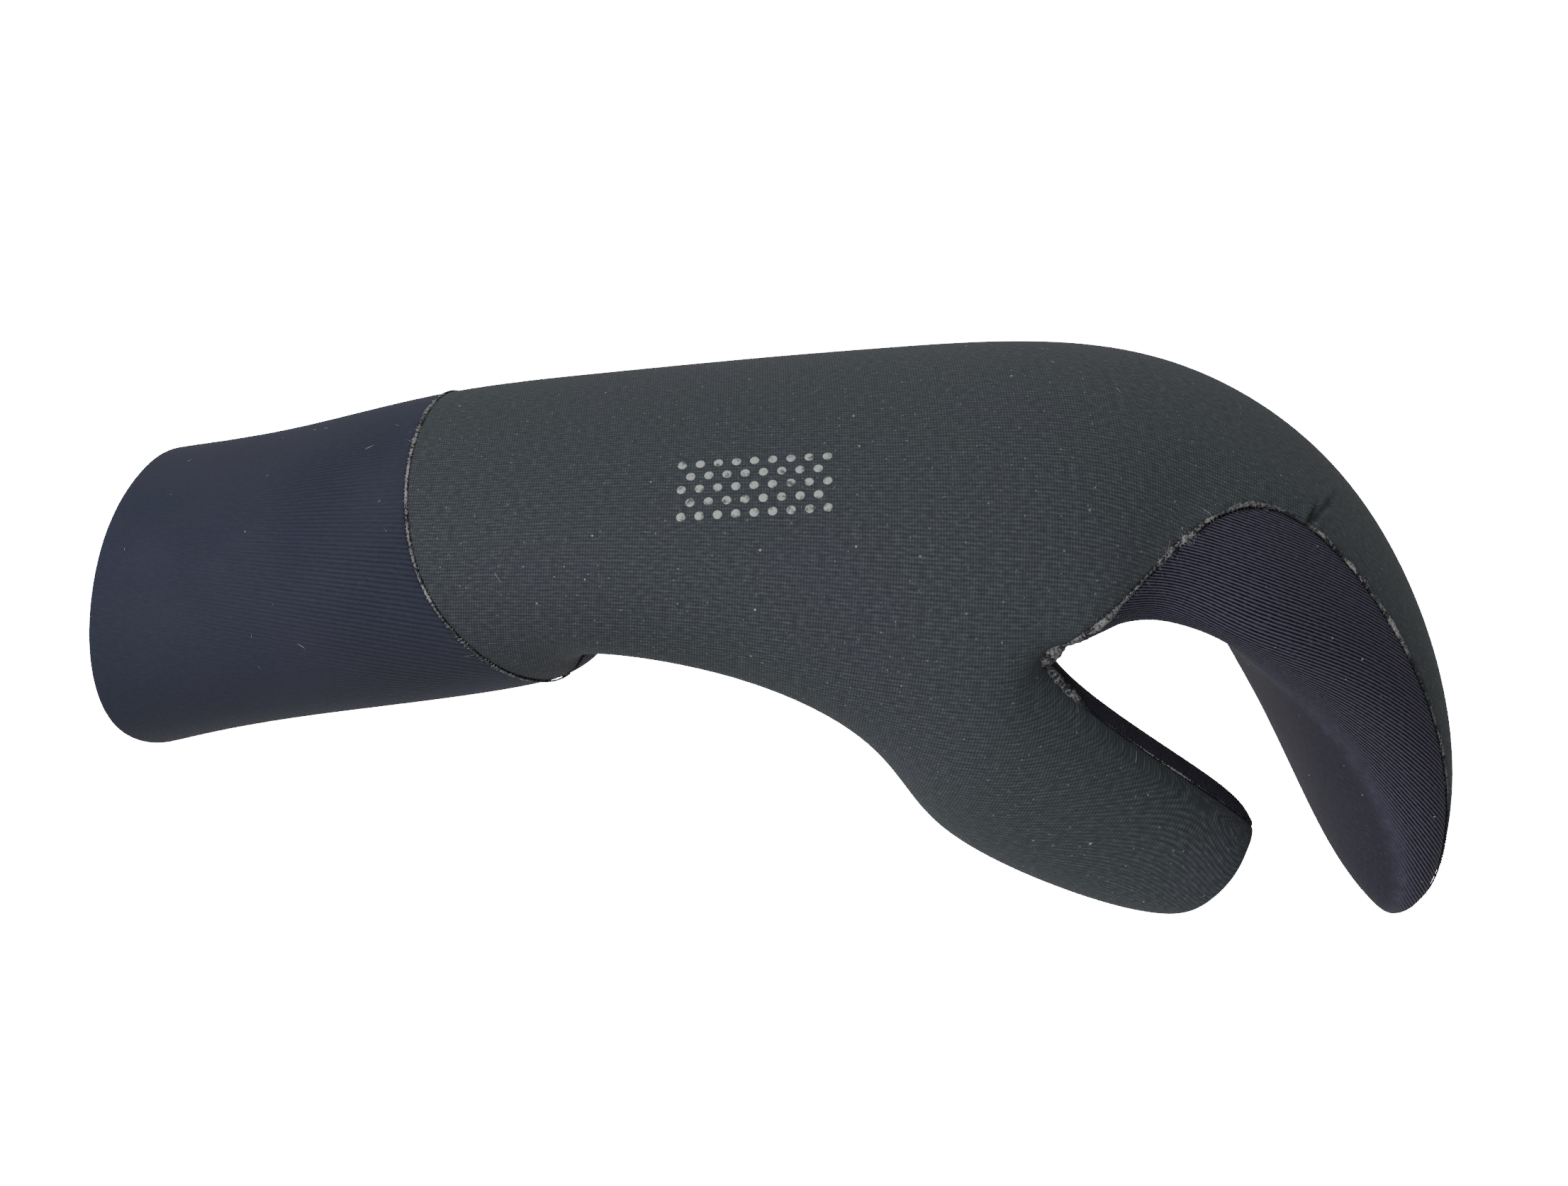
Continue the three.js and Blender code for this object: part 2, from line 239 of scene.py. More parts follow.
# Lint: the part of the cuff and the back that it falls on, seen from above, how high it starts, which way
# it falls, its fibres' radius, and each fibre's points and thickness as shares of its length and radius
LINT_X = (0, 235 * MM)
LINT_Y = (-55 * MM, 40 * MM)
LINT_FROM_Z = 90 * MM
LINT_FALL = (0, 0.2, -1)
LINT_RADIUS = 0.035 * MM
LINT_SHARES = (0, 0.33, 0.66, 1)
LINT_TAPER = [0.5, 1, 1, 0.4]

# The stage: the middle of the view, and each light's way from there and size in metres
VIEW_MIDDLE = (115.7 * MM, 0, 0)
KEY_LIGHT = ((-0.45, -0.5, 0.5), 0.5)
FILL_LIGHT = ((0.1, -0.6, -0.35), 0.6)
BACK_LIGHT = ((0.3, 0.6, 0.45), 0.7)


def length_property(name, description, default, most):
    """A length in metres that a user can change."""
    return FloatProperty(name=name, description=description, default=default, min=0, max=most, precision=5,
                         subtype="DISTANCE", unit="LENGTH")


def strength_property(name, description, default, unit="NONE"):
    """A strength that a user can change."""
    return FloatProperty(name=name, description=description, default=default, min=0, unit=unit)


def colour_property(name, description, default):
    """A colour that a user can change."""
    return FloatVectorProperty(name=name, description=description, default=default, size=3, min=0, max=1,
                               subtype="COLOR")


class ClothSizes(bpy.types.PropertyGroup):
    """Sizes and colours of the three cloths"""

    rib_pitch: length_property("Palm rib pitch", "From one palm rib to the next", 0.53 * MM, 5 * MM)
    cuff_rib_pitch: length_property("Cuff rib pitch", "From one faint cuff rib to the next", 0.57 * MM,
                                    5 * MM)
    weave_pitch: length_property("Knit pitch", "From one row of the back's knit to the next", 0.6 * MM,
                                 5 * MM)
    edge_round: length_property("Edge rounding", "Width of the rounding on the walls' edges", 0.5 * MM,
                                2 * MM)
    levels: IntProperty(name="Smoothing levels", description="Rounds of subdivision on each panel",
                        default=2, min=0, max=3)
    cuff_colour: colour_property("Cuff colour", "Navy jersey", (0.0235, 0.0255, 0.0405))
    back_colour: colour_property("Back colour", "Grey-green jersey", (0.0345, 0.039, 0.0435))
    palm_colour: colour_property("Palm colour", "Tops of the purple-black ribs", (0.041, 0.0375, 0.061))


class SeamSizes(bpy.types.PropertyGroup):
    """Sizes and colours of the seams"""

    bead_width: length_property("Bead width", "Width of the glued bead along a seam", 0.95 * MM, 4 * MM)
    bead_height: length_property("Bead height", "How far the bead stands out", 0.2 * MM, 2 * MM)
    stitch_length: length_property("Stitch length", "Length of one stitch across the seam", 1.4 * MM,
                                   6 * MM)
    stitch_spacing: length_property("Stitch spacing", "From one stitch to the next", 0.75 * MM, 6 * MM)
    thread_radius: length_property("Thread radius", "Radius of the stitching thread", 0.1 * MM, 1 * MM)
    end_radius: length_property("Loose end radius", "Radius of a frayed fibre", 0.045 * MM, 1 * MM)
    end_length: length_property("Loose end length", "Length of a frayed fibre", 1.3 * MM, 9 * MM)
    pale_colour: colour_property("Pale thread colour", "Dried glue and pale thread", (0.2, 0.2, 0.195))
    dark_colour: colour_property("Dark thread colour", "Thread dyed like the cloth", (0.012, 0.012, 0.017))


class TrimSizes(bpy.types.PropertyGroup):
    """Sizes and colours of the print and the lint"""

    dot_pitch: length_property("Dot pitch", "From one printed dot to the next", 3.1 * MM, 20 * MM)
    dot_radius: length_property("Dot radius", "Radius of a printed dot", 0.85 * MM, 5 * MM)
    dot_height: length_property("Dot height", "How far a printed dot stands out", 0.16 * MM, 2 * MM)
    dot_colour: colour_property("Print colour", "Pale rubbery print", (0.3, 0.32, 0.305))
    lint_count: IntProperty(name="Lint fibres", description="Loose fibres on the cuff and the back",
                            default=70, min=0, max=2000)
    lint_colour: colour_property("Lint colour", "Pale lint", (0.4, 0.4, 0.38))


class StageSizes(bpy.types.PropertyGroup):
    """Sizes and strengths of the stage"""

    floor_size: length_property("Floor size", "Side of the floor", 8.0, 50)
    floor_gap: length_property("Floor gap", "From the mitten's lowest point down to the floor", 0.16, 5)
    key_power: strength_property("Key power", "Power of the key light", 7.0, unit="POWER")
    fill_power: strength_property("Fill power", "Power of the light from below the hand", 0.5, unit="POWER")
    back_power: strength_property("Back power", "Power of the light behind the hand", 2.0, unit="POWER")
    world_strength: strength_property("World strength", "Brightness of the room", 0.5)
    floor_glow: strength_property("Floor glow", "Light that the floor sends up", 0.03)
    white_glow: strength_property("White glow", "How bright the floor and the room look", 16.0)
    camera_distance: length_property("Camera distance", "From the camera to its view's middle", 0.36, 50)
    camera_lens: FloatProperty(name="Lens", description="Focal length", default=43.36, min=1, unit="CAMERA")
    camera_elevation: FloatProperty(name="Camera elevation", description="Height above the horizon",
                                    default=math.radians(30), subtype="ANGLE")


# Making and placing pieces


def tree_of(*meshes):
    """The meshes' faces as one tree for nearest points and rays."""
    corners = []
    faces = []
    for mesh in meshes:
        first = len(corners)
        corners.extend(v.co.copy() for v in mesh.vertices)
        faces.extend([first + i for i in face.vertices] for face in mesh.polygons)
    return BVHTree.FromPolygons(corners, faces)


def nearest_of(places, points):
    """For each point, the index of the nearest place."""
    tree = KDTree(len(places))
    for index, place in enumerate(places):
        tree.insert(place, index)
    tree.balance()
    return np.array([tree.find(point)[1] for point in points])


def only(piece):
    """Selects one object alone and makes it active."""
    bpy.ops.object.select_all(action="DESELECT")
    piece.select_set(True)
    bpy.context.view_layer.objects.active = piece


def points_of(piece):
    """A mesh's vertices as rows of x, y and z."""
    points = np.empty(len(piece.data.vertices) * 3)
    piece.data.vertices.foreach_get("co", points)
    return points.reshape(-1, 3)


def normals_of(piece):
    """A mesh's vertex normals as rows of x, y and z."""
    normals = np.empty(len(piece.data.vertices) * 3)
    piece.data.vertices.foreach_get("normal", normals)
    return normals.reshape(-1, 3)


def move_points(piece, points):
    """Writes a mesh's vertices back."""
    piece.data.vertices.foreach_set("co", points.ravel())
    piece.data.update()


def copy_of_node(node, name):
    """A merged copy of a CAD node in four-cornered faces."""
    only(frame["nodes"][node])
    bpy.ops.object.duplicate()
    piece = bpy.context.active_object
    for key in list(piece.keys()):
        del piece[key]
    bpy.ops.object.parent_clear(type="CLEAR_KEEP_TRANSFORM")
    piece.name = name
    piece.data.name = name
    bpy.ops.object.mode_set(mode="EDIT")
    bpy.ops.mesh.select_all(action="SELECT")
    bpy.ops.mesh.customdata_custom_splitnormals_clear()
    bpy.ops.mesh.remove_doubles(threshold=SAME_POINT_WITHIN)
    bpy.ops.mesh.tris_convert_to_quads(face_threshold=math.pi, shape_threshold=math.pi,
                                       topology_influence=1.0)
    bpy.ops.object.mode_set(mode="OBJECT")
    return piece


def round_edges(piece, sizes):
    """Rounds the long edges of the wall a little, and keeps the rounded edge on the wall."""
    only(piece)
    mesh = piece.data
    wall = tree_of(mesh)
    bpy.ops.object.mode_set(mode="EDIT")
    bpy.ops.mesh.select_mode(type="EDGE")
    bpy.ops.mesh.select_all(action="DESELECT")
    bpy.ops.mesh.edges_select_sharp(sharpness=SHARP_EDGE)
    bpy.ops.mesh.bevel(offset=sizes.edge_round, segments=2, affect="EDGES", loop_slide=False)
    bpy.ops.object.mode_set(mode="OBJECT")
    for vertex in mesh.vertices:
        place, _, _, off = wall.find_nearest(vertex.co)
        if off > sizes.edge_round * STRAY_SHARE:
            vertex.co = place


def smooth_panel(piece, sizes):
    """Smooths the whole panel, and its cloth map with it."""
    only(piece)
    modifier = piece.modifiers.new("Smooth cloth", "SUBSURF")
    modifier.levels = sizes.levels
    modifier.render_levels = sizes.levels
    modifier.uv_smooth = "PRESERVE_BOUNDARIES"
    bpy.ops.object.modifier_apply(modifier=modifier.name)
    bpy.ops.object.shade_smooth()


def finish_piece(piece, material, nodes=()):
    """Gives a finished piece its material and its body, and hides the nodes that it stands for."""
    piece.data.materials.clear()
    piece.data.materials.append(material)
    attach(piece, "root")
    if nodes:
        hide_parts(*nodes)


# Laying the cloth's coordinates


def hand_directions(points):
    """At each point: the way along the hand or round the fingers' curl, and the way out from its middle."""
    across = points[:, 0] - CURL_X
    up = points[:, 2] - CURL_Z
    reach = np.hypot(across, up)
    curled = across > 0
    out = np.zeros_like(points)
    out[:, 0] = np.where(curled, across / reach, 0)
    out[:, 2] = np.where(curled, up / reach, 1)
    ahead = np.column_stack((out[:, 2], np.zeros(len(points)), -out[:, 0]))
    middle = np.where(curled[:, None], [CURL_X, 0, CURL_Z], [0, 0, CURL_Z] + points * [1, 0, 0])
    return ahead, points - middle - out * CURL_MIDDLE


def unit(rows):
    """The same directions, each of length one."""
    return rows / np.maximum(np.linalg.norm(rows, axis=1), 1e-9)[:, None]


def along_surface(directions, normals):
    """The same directions, turned to lie in the surface."""
    return unit(directions - (directions * normals).sum(1)[:, None] * normals)


def best_fit(edges, rises, weights, count):
    """The value at each point that best gives the wanted rises along the edges."""
    first, second = edges.T

    def gather(flow):
        return np.bincount(second, flow, count) - np.bincount(first, flow, count)

    scale = np.maximum(np.bincount(first, weights, count) + np.bincount(second, weights, count), 1)
    values = np.zeros(count)
    left = gather(weights * rises)
    eased = left / scale
    step = eased
    size = left @ eased
    for _ in range(FLAT_ROUNDS):
        spread = gather(weights * (step[second] - step[first]))
        share = size / (step @ spread)
        values += share * step
        left = left - share * spread
        eased = left / scale
        before, size = size, left @ eased
        if size < FLAT_ENOUGH:
            break
        step = eased + size / before * step
    return values


def lay_flat(piece, ahead, around):
    """Finds where each point lies on the flat cloth, in metres along and across it, and maps the piece."""
    mesh = piece.data
    edges = np.empty(len(mesh.edges) * 2, int)
    mesh.edges.foreach_get("vertices", edges)
    edges = edges.reshape(-1, 2)
    points = points_of(piece)
    steps = points[edges[:, 1]] - points[edges[:, 0]]
    weights = 1 / np.maximum(np.linalg.norm(steps, axis=1), SHORTEST_EDGE)
    places = []
    for directions in (ahead, around):
        rises = (steps * (directions[edges[:, 0]] + directions[edges[:, 1]]) / 2).sum(1)
        places.append(best_fit(edges, rises, weights, len(points)))
    return write_map(piece, *places)


def write_map(piece, along, across):
    """Writes the cloth's coordinates to the piece's map, and returns the map with its corners' values."""
    mesh = piece.data
    layer = mesh.uv_layers.new(name=CLOTH_MAP)
    corners = np.empty(len(mesh.loops), int)
    mesh.loops.foreach_get("vertex_index", corners)
    both = np.column_stack((along[corners], across[corners]))
    layer.data.foreach_set("uv", both.astype(np.float32).ravel())
    return layer, both


def close_wrap(piece, layer, both, whole):
    """Carries the faces that straddle the map's edge over it, so that none runs back across the map."""
    for face in piece.data.polygons:
        corners = list(face.loop_indices)
        across = both[corners, 1]
        if across.max() - across.min() > whole / 2:
            both[corners, 1] = np.where(across < 0, across + whole, across)
    layer.data.foreach_set("uv", both.astype(np.float32).ravel())


# Node helpers


def add_sockets(tree, inputs, output):
    """Gives a node group its named inputs, with the cloth's coordinates first, and its output."""
    tree.interface.new_socket(name="Cloth", in_out="INPUT", socket_type="NodeSocketVector")
    for name, default in inputs.items():
        kind = "NodeSocketVector" if isinstance(default, tuple) else "NodeSocketFloat"
        socket = tree.interface.new_socket(name=name, in_out="INPUT", socket_type=kind)
        socket.default_value = default
    tree.interface.new_socket(name=output, in_out="OUTPUT", socket_type="NodeSocketFloat")
    start = tree.nodes.new("NodeGroupInput")
    end = tree.nodes.new("NodeGroupOutput")
    return start.outputs, end.inputs[output]


def feed(tree, value, socket):
    """Feeds a socket from another, or sets it to a number or a vector."""
    if isinstance(value, bpy.types.NodeSocket):
        tree.links.new(value, socket)
    else:
        socket.default_value = value


def maths(tree, operation, *values):
    """A maths node's result."""
    node = tree.nodes.new("ShaderNodeMath")
    node.operation = operation
    for value, socket in zip(values, node.inputs):
        feed(tree, value, socket)
    return node.outputs[0]


def vector_maths(tree, operation, *values, output="Vector"):
    """A vector maths node's result."""
    node = tree.nodes.new("ShaderNodeVectorMath")
    node.operation = operation
    for value, socket in zip(values, node.inputs):
        feed(tree, value, socket)
    return node.outputs[output]


def carried(tree, value, low, high, out_low=0.0, out_high=1.0):
    """A value carried from one range to another, held at the ends."""
    node = tree.nodes.new("ShaderNodeMapRange")
    tree.links.new(value, node.inputs["Value"])
    for name, number in (("From Min", low), ("From Max", high), ("To Min", out_low), ("To Max", out_high)):
        node.inputs[name].default_value = number
    return node.outputs["Result"]


def product(tree, first, second):
    """Two values multiplied."""
    return maths(tree, "MULTIPLY", first, second)


def total(tree, first, second):
    """Two values added."""
    return maths(tree, "ADD", first, second)


def parts_of(tree, vector):
    """A vector's parts, by the names X, Y and Z."""
    node = tree.nodes.new("ShaderNodeSeparateXYZ")
    tree.links.new(vector, node.inputs[0])
    return node.outputs


def noise(tree, vector, scale, detail=2.0, roughness=0.5):
    """Noise over a vector, from 0 to 1."""
    node = tree.nodes.new("ShaderNodeTexNoise")
    node.inputs["Scale"].default_value = scale
    node.inputs["Detail"].default_value = detail
    node.inputs["Roughness"].default_value = roughness
    tree.links.new(vector, node.inputs["Vector"])
    return node.outputs["Fac"]


def mixed(tree, factor, first, second):
    """A mix of two colours, each a socket or three numbers."""
    node = tree.nodes.new("ShaderNodeMix")
    node.data_type = "RGBA"
    feed(tree, factor, node.inputs["Factor"])
    for name, value in (("A", first), ("B", second)):
        socket = next(s for s in node.inputs if s.name == name and s.type == "RGBA")
        feed(tree, value if isinstance(value, bpy.types.NodeSocket) else (*value, 1.0), socket)
    return next(s for s in node.outputs if s.type == "RGBA")


def times(colour, factor):
    """A colour made lighter or darker."""
    return tuple(min(1.0, channel * factor) for channel in colour)


def place_group(tree, name, build, cloth, **values):
    """Places a node group in a material, fed by the cloth's coordinates, with its own values. The group is
    built the first time that it is wanted."""
    if name not in bpy.data.node_groups:
        build(bpy.data.node_groups.new(name, "ShaderNodeTree"))
    node = tree.nodes.new("ShaderNodeGroup")
    node.node_tree = bpy.data.node_groups[name]
    tree.links.new(cloth, node.inputs["Cloth"])
    for key, value in values.items():
        feed(tree, value, node.inputs[key.replace("_", " ")])
    return node.outputs[0]


# Node groups


def build_ribs(tree):
    """A round ridge every pitch across the cloth, a little uneven along its length and in its height."""
    start, end = add_sockets(tree, {"Pitch": 0.001, "Waver": 0.1}, "Height")
    split = parts_of(tree, start["Cloth"])
    waver = maths(tree, "SUBTRACT", noise(tree, start["Cloth"], 240), 0.5)
    turns = maths(tree, "DIVIDE", split["Y"], start["Pitch"])
    turns = total(tree, turns, product(tree, waver, start["Waver"]))
    wave = maths(tree, "COSINE", product(tree, turns, math.tau))
    uneven = carried(tree, noise(tree, start["Cloth"], 1400), 0.3, 0.7, -0.3, 0.3)
    tree.links.new(carried(tree, total(tree, wave, uneven), -0.85, 0.85), end)


def build_knit(tree):
    """Short stitches in rows along the cloth, crossed by fainter columns, with broken threads between."""
    start, end = add_sockets(tree, {"Pitch": 0.0005, "Rows": 0.5, "Columns": 0.4}, "Height")
    split = parts_of(tree, start["Cloth"])
    waves = []
    for axis, share, strength in (("X", 0.78, "Columns"), ("Y", 1.0, "Rows")):
        turns = maths(tree, "DIVIDE", split[axis], start["Pitch"])
        wave = maths(tree, "SINE", product(tree, turns, math.tau / share))
        waves.append(product(tree, wave, start[strength]))
    squeeze = vector_maths(tree, "MULTIPLY", start["Cloth"], (0.35, 1.0, 1.0))
    dashes = product(tree, maths(tree, "SUBTRACT", noise(tree, squeeze, 2100, 2, 0.6), 0.5), 3.6)
    height = total(tree, total(tree, waves[0], waves[1]), dashes)
    tree.links.new(carried(tree, height, -1.6, 1.6), end)


def build_lint(tree):
    """Specks of lint: a dot in some cells of a grid of random places, of different sizes."""
    start, end = add_sockets(tree, {"Spacing": 0.003, "Radius": 0.0001, "Share": 0.3}, "Speck")
    cells = tree.nodes.new("ShaderNodeTexVoronoi")
    cells.voronoi_dimensions = "2D"
    tree.links.new(start["Cloth"], cells.inputs["Vector"])
    tree.links.new(maths(tree, "DIVIDE", 1.0, start["Spacing"]), cells.inputs["Scale"])
    split = tree.nodes.new("ShaderNodeSeparateColor")
    tree.links.new(cells.outputs["Color"], split.inputs[0])
    reach = maths(tree, "DIVIDE", start["Radius"], start["Spacing"])
    reach = product(tree, reach, total(tree, split.outputs["Green"], 0.3))
    inside = maths(tree, "LESS_THAN", cells.outputs["Distance"], reach)
    chosen = maths(tree, "LESS_THAN", split.outputs["Red"], start["Share"])
    strength = total(tree, product(tree, split.outputs["Blue"], 0.8), 0.2)
    tree.links.new(product(tree, product(tree, inside, chosen), strength), end)


def build_pressed_line(tree):
    """1 along a line between two places, falling off to 0 at its half width and fading along its length."""
    ends = {"From": (0, 0, 0), "To": (1, 0, 0), "Half Width": 0.001, "Fade": 0.5}
    start, end = add_sockets(tree, ends, "Mask")
    whole = vector_maths(tree, "SUBTRACT", start["To"], start["From"])
    part = vector_maths(tree, "SUBTRACT", start["Cloth"], start["From"])
    share = maths(tree, "DIVIDE", vector_maths(tree, "DOT_PRODUCT", part, whole, output="Value"),
                  vector_maths(tree, "DOT_PRODUCT", whole, whole, output="Value"))
    share = carried(tree, share, 0, 1)
    scaled = tree.nodes.new("ShaderNodeVectorMath")
    scaled.operation = "SCALE"
    tree.links.new(whole, scaled.inputs[0])
    tree.links.new(share, scaled.inputs["Scale"])
    off = vector_maths(tree, "DISTANCE", part, scaled.outputs[0], output="Value")
    level = carried(tree, maths(tree, "DIVIDE", off, start["Half Width"]), 0, 1, 1, 0)
    fading = product(tree, maths(tree, "SUBTRACT", 1.0, start["Fade"]), share)
    tree.links.new(product(tree, level, maths(tree, "SUBTRACT", 1.0, fading)), end)


# Materials


def new_material(name, specular):
    """A fresh material, its tree and its shader, with its own specular level."""
    material = bpy.data.materials.new(name)
    material.use_nodes = True
    shader = material.node_tree.nodes["Principled BSDF"]
    shader.inputs["Specular IOR Level"].default_value = specular
    return material, material.node_tree, shader


def new_cloth_material(name):
    """A fresh cloth: its material, tree and shader, and the cloth's and the object's coordinates."""
    material, tree, shader = new_material(name, 0.12)
    shader.inputs["Sheen Weight"].default_value = 0.02
    shader.inputs["Sheen Roughness"].default_value = 0.6
    cloth = tree.nodes.new("ShaderNodeUVMap")
    cloth.uv_map = CLOTH_MAP
    whole = tree.nodes.new("ShaderNodeTexCoord")
    return material, tree, shader, cloth.outputs["UV"], whole.outputs["Object"]


def feed_bump(tree, shader, height, strength, distance):
    """Feeds a height to the shader's normal."""
    bump = tree.nodes.new("ShaderNodeBump")
    bump.inputs["Strength"].default_value = strength
    bump.inputs["Distance"].default_value = distance
    tree.links.new(height, bump.inputs["Height"])
    tree.links.new(bump.outputs["Normal"], shader.inputs["Normal"])


def cuff_material(sizes):
    """Smooth navy jersey with faint ribs in places, blotchy, with lint specks, painted shade towards its
    underside and in its rib grooves, and painted highlights on its knit.
    """
    material, tree, shader, cloth, whole = new_cloth_material("Navy jersey")
    colour = tuple(sizes.cuff_colour)
    ribs = place_group(tree, "Knitted ribs", build_ribs, cloth, Pitch=sizes.cuff_rib_pitch, Waver=0.3)
    knit = place_group(tree, "Cross knit", build_knit, cloth, Pitch=0.42 * MM, Rows=0.3, Columns=0.2)
    specks = place_group(tree, "Lint specks", build_lint, cloth, Spacing=8 * MM, Radius=0.13 * MM,
                         Share=0.2)
    blotches = carried(tree, noise(tree, whole, 38, 4, 0.55), 0.32, 0.68)
    cool = (colour[0] * 0.84, colour[1] * 0.92, colour[2] * 0.98)
    warm = (colour[0] * 1.16, colour[1] * 1.08, colour[2] * 1.08)
    base = mixed(tree, blotches, cool, warm)
    # Painted highlights on the knit's raised stitches, over the knit's own pattern
    base = mixed(tree, carried(tree, knit, 0.45, 1, 0, 0.35), base, times(colour, 1.8))
    split = parts_of(tree, whole)
    # Painted shade: the cuff is darker towards its underside
    below = carried(tree, split["Z"], *CUFF_SHADE_Z, 0.9, 0)
    base = mixed(tree, below, base, times(colour, 0.6))
    # Where the ribs show, their grooves are darker: partly the cloth's own ribs, partly painted shade in
    # the grooves
    near_seam = carried(tree, split["X"], *CUFF_RIBS_X)
    shown = product(tree, carried(tree, noise(tree, whole, 26, 2), 0.42, 0.62), near_seam)
    grooves = product(tree, carried(tree, ribs, 0, 0.6, 0.55, 0), shown)
    base = mixed(tree, grooves, base, times(colour, 0.35))
    base = mixed(tree, product(tree, specks, 0.6), base, (0.3, 0.3, 0.3))
    tree.links.new(base, shader.inputs["Base Color"])
    tree.links.new(carried(tree, knit, 0, 1, 0.95, 0.78), shader.inputs["Roughness"])
    height = total(tree, product(tree, product(tree, ribs, shown), 0.9),
                   product(tree, knit, 0.45))
    feed_bump(tree, shader, height, 0.6, 0.12 * MM)
    return material


def back_material(sizes, creases):
    """Matt grey-green jersey in a fine cross knit with pale lint, with painted shade in its creases, on the
    heel and towards the fingers, and on the knit painted shade in its hollows and painted highlights on its
    stitches.
    """
    material, tree, shader, cloth, whole = new_cloth_material("Grey-green jersey")
    colour = tuple(sizes.back_colour)
    knit = place_group(tree, "Cross knit", build_knit, cloth, Pitch=sizes.weave_pitch, Rows=0.45,
                       Columns=0.5)
    specks = place_group(tree, "Lint specks", build_lint, cloth, Spacing=1.9 * MM, Radius=0.11 * MM,
                         Share=0.45)
    flecks = place_group(tree, "Lint specks", build_lint, cloth, Spacing=9 * MM, Radius=0.16 * MM,
                         Share=0.3)
    green = (colour[0] * 0.93, colour[1] * 1.03, colour[2] * 0.96)
    violet = (colour[0] * 1.02, colour[1] * 0.97, colour[2] * 1.04)
    base = mixed(tree, carried(tree, noise(tree, whole, 20, 3), 0.35, 0.65), green, violet)
    split = parts_of(tree, whole)
    # Painted shade: the back is darker towards the fingers
    base = mixed(tree, carried(tree, split["X"], *BACK_SHADE_X, 0, 0.4), base, times(colour, 0.62))
    # Painted shade: the heel is darker low down near the wrist
    heel = product(tree, carried(tree, split["X"], *HEEL_SHADE_X, 1, 0),
                 carried(tree, split["Z"], *HEEL_SHADE_Z, 0.9, 0))
    base = mixed(tree, heel, base, times(colour, 0.55))
    # The knit's own pattern, with painted shade in its hollows and painted highlights on its stitches
    base = mixed(tree, carried(tree, knit, 0.05, 0.5, 0.6, 0), base, times(colour, 0.4))
    base = mixed(tree, carried(tree, knit, 0.5, 0.95, 0, 0.65), base, times(colour, 2.3))
    base = mixed(tree, product(tree, specks, 0.6), base, (0.22, 0.24, 0.24))
    base = mixed(tree, product(tree, flecks, 0.8), base, (0.4, 0.41, 0.4))
    # Painted shade in the creases, darkest where they are deepest
    for start, end, fade, depth, half_width in creases:
        line = place_group(tree, "Pressed line", build_pressed_line, whole, From=Vector(start),
                           To=Vector(end), Half_Width=CREASE_SHADE_WIDTH * half_width, Fade=1 - fade)
        base = mixed(tree, product(tree, line, depth / DEEPEST_CREASE), base, times(colour, 0.2))
    tree.links.new(base, shader.inputs["Base Color"])
    tree.links.new(carried(tree, knit, 0, 1, 0.98, 0.82), shader.inputs["Roughness"])
    feed_bump(tree, shader, knit, 0.7, 0.12 * MM)
    return material


def palm_material(sizes):
    """Purple-black cloth with fine raised ribs, stretched smooth over the edge of the palm. The rib grooves
    and the smooth band are darkened partly with painted shade, and the fold and the knit carry painted
    highlights.
    """
    material, tree, shader, cloth, whole = new_cloth_material("Ribbed purple-black cloth")
    colour = tuple(sizes.palm_colour)
    ribs = place_group(tree, "Knitted ribs", build_ribs, cloth, Pitch=sizes.rib_pitch, Waver=0.2)
    knit = place_group(tree, "Cross knit", build_knit, cloth, Pitch=0.4 * MM, Rows=0.08, Columns=0.08)
    specks = place_group(tree, "Lint specks", build_lint, cloth, Spacing=7 * MM, Radius=0.14 * MM,
                         Share=0.35)
    off = vector_maths(tree, "SUBTRACT", whole, (CURL_X, 0, CURL_Z))
    off = vector_maths(tree, "MULTIPLY", off, (1, 0, 1))
    reach = vector_maths(tree, "LENGTH", off, output="Value")
    ribbed = total(tree, carried(tree, reach, RIBS_FLAT_BELOW, RIBS_WHOLE_ABOVE),
                   carried(tree, reach, RIBS_WHOLE_BELOW, RIBS_FLAT_ABOVE, 1, 0))
    # The smooth band on the fingers' palm side: the cloth's stretched tone, darkened partly with painted
    # shade
    smooth = mixed(tree, carried(tree, noise(tree, whole, 60, 4, 0.6), 0.3, 0.7), times(colour, 0.42),
                   times(colour, 0.5))
    # Ribs: pale ridges and near-black grooves, the grooves darkened partly with painted shade
    ridges = mixed(tree, carried(tree, ribs, 0.15, 0.85, 0.98, 0), times(colour, 1.3), times(colour, 0.03))
    base = mixed(tree, ribbed, smooth, ridges)
    # A painted highlight along the fold's rounded edge, in uneven patches
    fold = product(tree, carried(tree, reach, FOLD_STARTS, FOLD_TOP),
                 carried(tree, reach, FOLD_TOP, FOLD_ENDS, 1, 0))
    wear_and_highlight = product(tree, fold, carried(tree, noise(tree, whole, 500, 3, 0.6), 0.35, 0.65, 0.2, 0.7))
    base = mixed(tree, wear_and_highlight, base, times(colour, 1.15))
    # Painted highlights on the knit's raised stitches
    base = mixed(tree, carried(tree, knit, 0.5, 1, 0, 0.4), base, times(colour, 1.7))
    base = mixed(tree, specks, base, (0.4, 0.4, 0.42))
    tree.links.new(base, shader.inputs["Base Color"])
    tree.links.new(carried(tree, ribs, 0, 1, 0.95, 0.72), shader.inputs["Roughness"])
    height = total(tree, product(tree, ribs, ribbed), product(tree, knit, 0.2))
    feed_bump(tree, shader, height, 0.7, 0.2 * MM)
    return material


